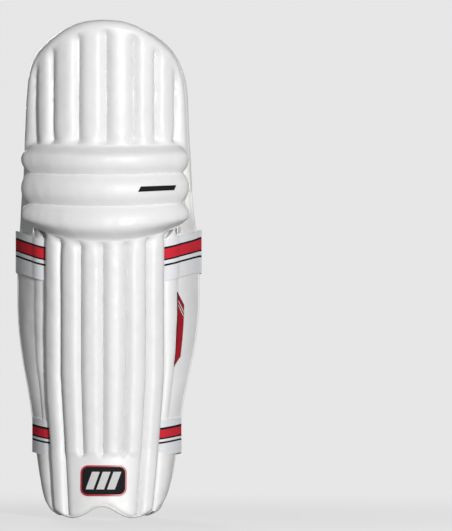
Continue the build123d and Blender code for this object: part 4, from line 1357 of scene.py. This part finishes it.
def line_shape(points, width):
    """The outline of a line of one width through points of a plane."""
    path = np.array(points, float)
    run = np.gradient(path, axis=0)
    run /= np.linalg.norm(run, axis=1, keepdims=True)
    side = np.stack([-run[:, 1], run[:, 0]], axis=1) * width / 2
    return [tuple(p) for p in np.vstack([path + side, (path - side)[::-1]])]


panel_shapes = {
    "lining_band": ([(83, 558.5), (-17, 558.5), (-63, 605), (74, 605), (83, 588)], panel_print),
    "lining_bar": ([(84.0, 548.8), (11.0, 548.8), (11.0, 554.0), (84.0, 554.0)], grey_print),
    "lining_slash": ([(10, 514), (-9, 514), (-90, 597), (-87, 606), (-83, 606)], ink_print),
    "lining_corner": ([(-23.0, 514.0), (-90.0, 514.0), (-92.0, 583.0)], triangle_print),
    "lining_grey_line": (line_shape([(11.0, 551.4), (-14.0, 551.4), (-80.0, 617.0)], 1.7), grey_print),
    "lining_grey_edge": (line_shape([(-13.0, 514.0), (-90.5, 591.5)], 1.4), grey_print),
    "lining_black_edge": (line_shape([(-18.5, 514.0), (-91.0, 586.0)], 1.5), ink_print),
}
for name, (outline, material) in panel_shapes.items():
    nodes = ("top_hat_print",) if name == "lining_band" else ()
    shape_piece(name, outline, leg_side, material, "top_hat", "lining_print", nodes,
                lift=0.3, cell=5.0, under=0.2)  # fmt: skip

# ---------------------------------------------------------------- studio

PALE = 0.796
ground = Shader("studio_ground", (0.25, 0.25, 0.25), 0.95)
radius = ground.node("ShaderNodeVectorMath", operation="LENGTH")
ground.join(ground.node("ShaderNodeTexCoord").outputs["Object"], radius.inputs[0])
away = ground.node("ShaderNodeMapRange", interpolation_type="SMOOTHSTEP")
away.inputs["From Min"].default_value = 0.12
away.inputs["From Max"].default_value = 1.1
ground.join(radius.outputs["Value"], away.inputs["Value"])
# painted shadow: far from the pad the floor glows an even pale, but near it the glow falls to 0.57 and the
# floor takes some diffuse light instead, so a darker pool lies round the pad
glow_with_painted_shadow = ground.mix(away.outputs["Result"], (0.57, 0.57, 0.575), (PALE, PALE, PALE))
ground.join(glow_with_painted_shadow, ground.shader.inputs["Emission Color"])
ground.shader.inputs["Emission Strength"].default_value = 1.0
ground.shader.inputs["Specular IOR Level"].default_value = 0.0
tone = ground.mix(away.outputs["Result"], (0.25, 0.25, 0.25), (0.0, 0.0, 0.0))
FLOOR_RADIUS, FLOOR_CORNERS, FLOOR_HEIGHT = 2.0, 96, -0.001
floor_turns = np.arange(FLOOR_CORNERS) / FLOOR_CORNERS * 2 * pi
verts = [(FLOOR_RADIUS * cos(a), FLOOR_RADIUS * sin(a), FLOOR_HEIGHT) for a in floor_turns]
faces = [(0, i + 1, (i + 1) % FLOOR_CORNERS + 1) for i in range(FLOOR_CORNERS)]
mesh = bpy.data.meshes.new("studio_floor")
mesh.from_pydata([(0, 0, FLOOR_HEIGHT), *verts], [], faces)
mesh.materials.append(ground.finish(tone))
floor = bpy.data.objects.new("studio_floor", mesh)
bpy.context.collection.objects.link(floor)
floor.visible_diffuse = False
floor.visible_glossy = False

AIM = (0, 0, 0.38)  # what every light points at


def area_light(name, place, size, power):
    light = bpy.data.lights.new(name, "AREA")
    light.shape = "RECTANGLE"
    light.size, light.size_y = size
    light.energy = power
    lamp = bpy.data.objects.new(name, light)
    lamp.location = place
    lamp.rotation_euler = (Vector(AIM) - Vector(place)).to_track_quat("-Z", "Y").to_euler()
    bpy.context.collection.objects.link(lamp)


area_light("key", (1.10, -2.95, 0.85), (0.45, 0.7), 82)
area_light("front_fill", (-0.9, -3.1, 0.6), (0.9, 1.2), 6)
area_light("back_key", (-0.7, 3.0, 0.95), (0.6, 0.8), 72)
area_light("back_fill", (0.9, 3.1, 0.6), (1.0, 1.2), 14)

world = bpy.data.worlds.new("studio")
world.use_nodes = True
nodes, links = world.node_tree.nodes, world.node_tree.links
ambient = nodes["Background"]
ambient.inputs["Color"].default_value = (0.97, 0.98, 1.0, 1)
ambient.inputs["Strength"].default_value = 0.14
backdrop = nodes.new("ShaderNodeBackground")
backdrop.inputs["Color"].default_value = (PALE, PALE, PALE, 1)
choose = nodes.new("ShaderNodeMixShader")
links.new(nodes.new("ShaderNodeLightPath").outputs["Is Camera Ray"], choose.inputs[0])
links.new(ambient.outputs[0], choose.inputs[1])
links.new(backdrop.outputs[0], choose.inputs[2])
links.new(choose.outputs[0], nodes["World Output"].inputs["Surface"])
bpy.context.scene.world = world

VIEW_WIDTH = 623.76  # millimetres across the picture, at the pad
DISTANCE = 9.0
AZIMUTH = radians(3.2)
right = Vector((cos(AZIMUTH), sin(AZIMUTH), 0))
back_way = Vector((sin(AZIMUTH), -cos(AZIMUTH), 0))
target = Vector((0, (FRONT + 50.0) * MM, 0.3468)) + right * 0.1665
camera = bpy.data.cameras.new("camera")
SENSOR = 36.0
camera.sensor_width = SENSOR
camera.sensor_fit = "HORIZONTAL"
camera.lens = SENSOR * DISTANCE / (VIEW_WIDTH * MM)
eye = bpy.data.objects.new("camera", camera)
eye.location = target + back_way * DISTANCE
eye.rotation_euler = (-back_way).to_track_quat("-Z", "Y").to_euler()
bpy.context.collection.objects.link(eye)
bpy.context.scene.camera = eye
bpy.context.scene.view_settings.view_transform = "Standard"
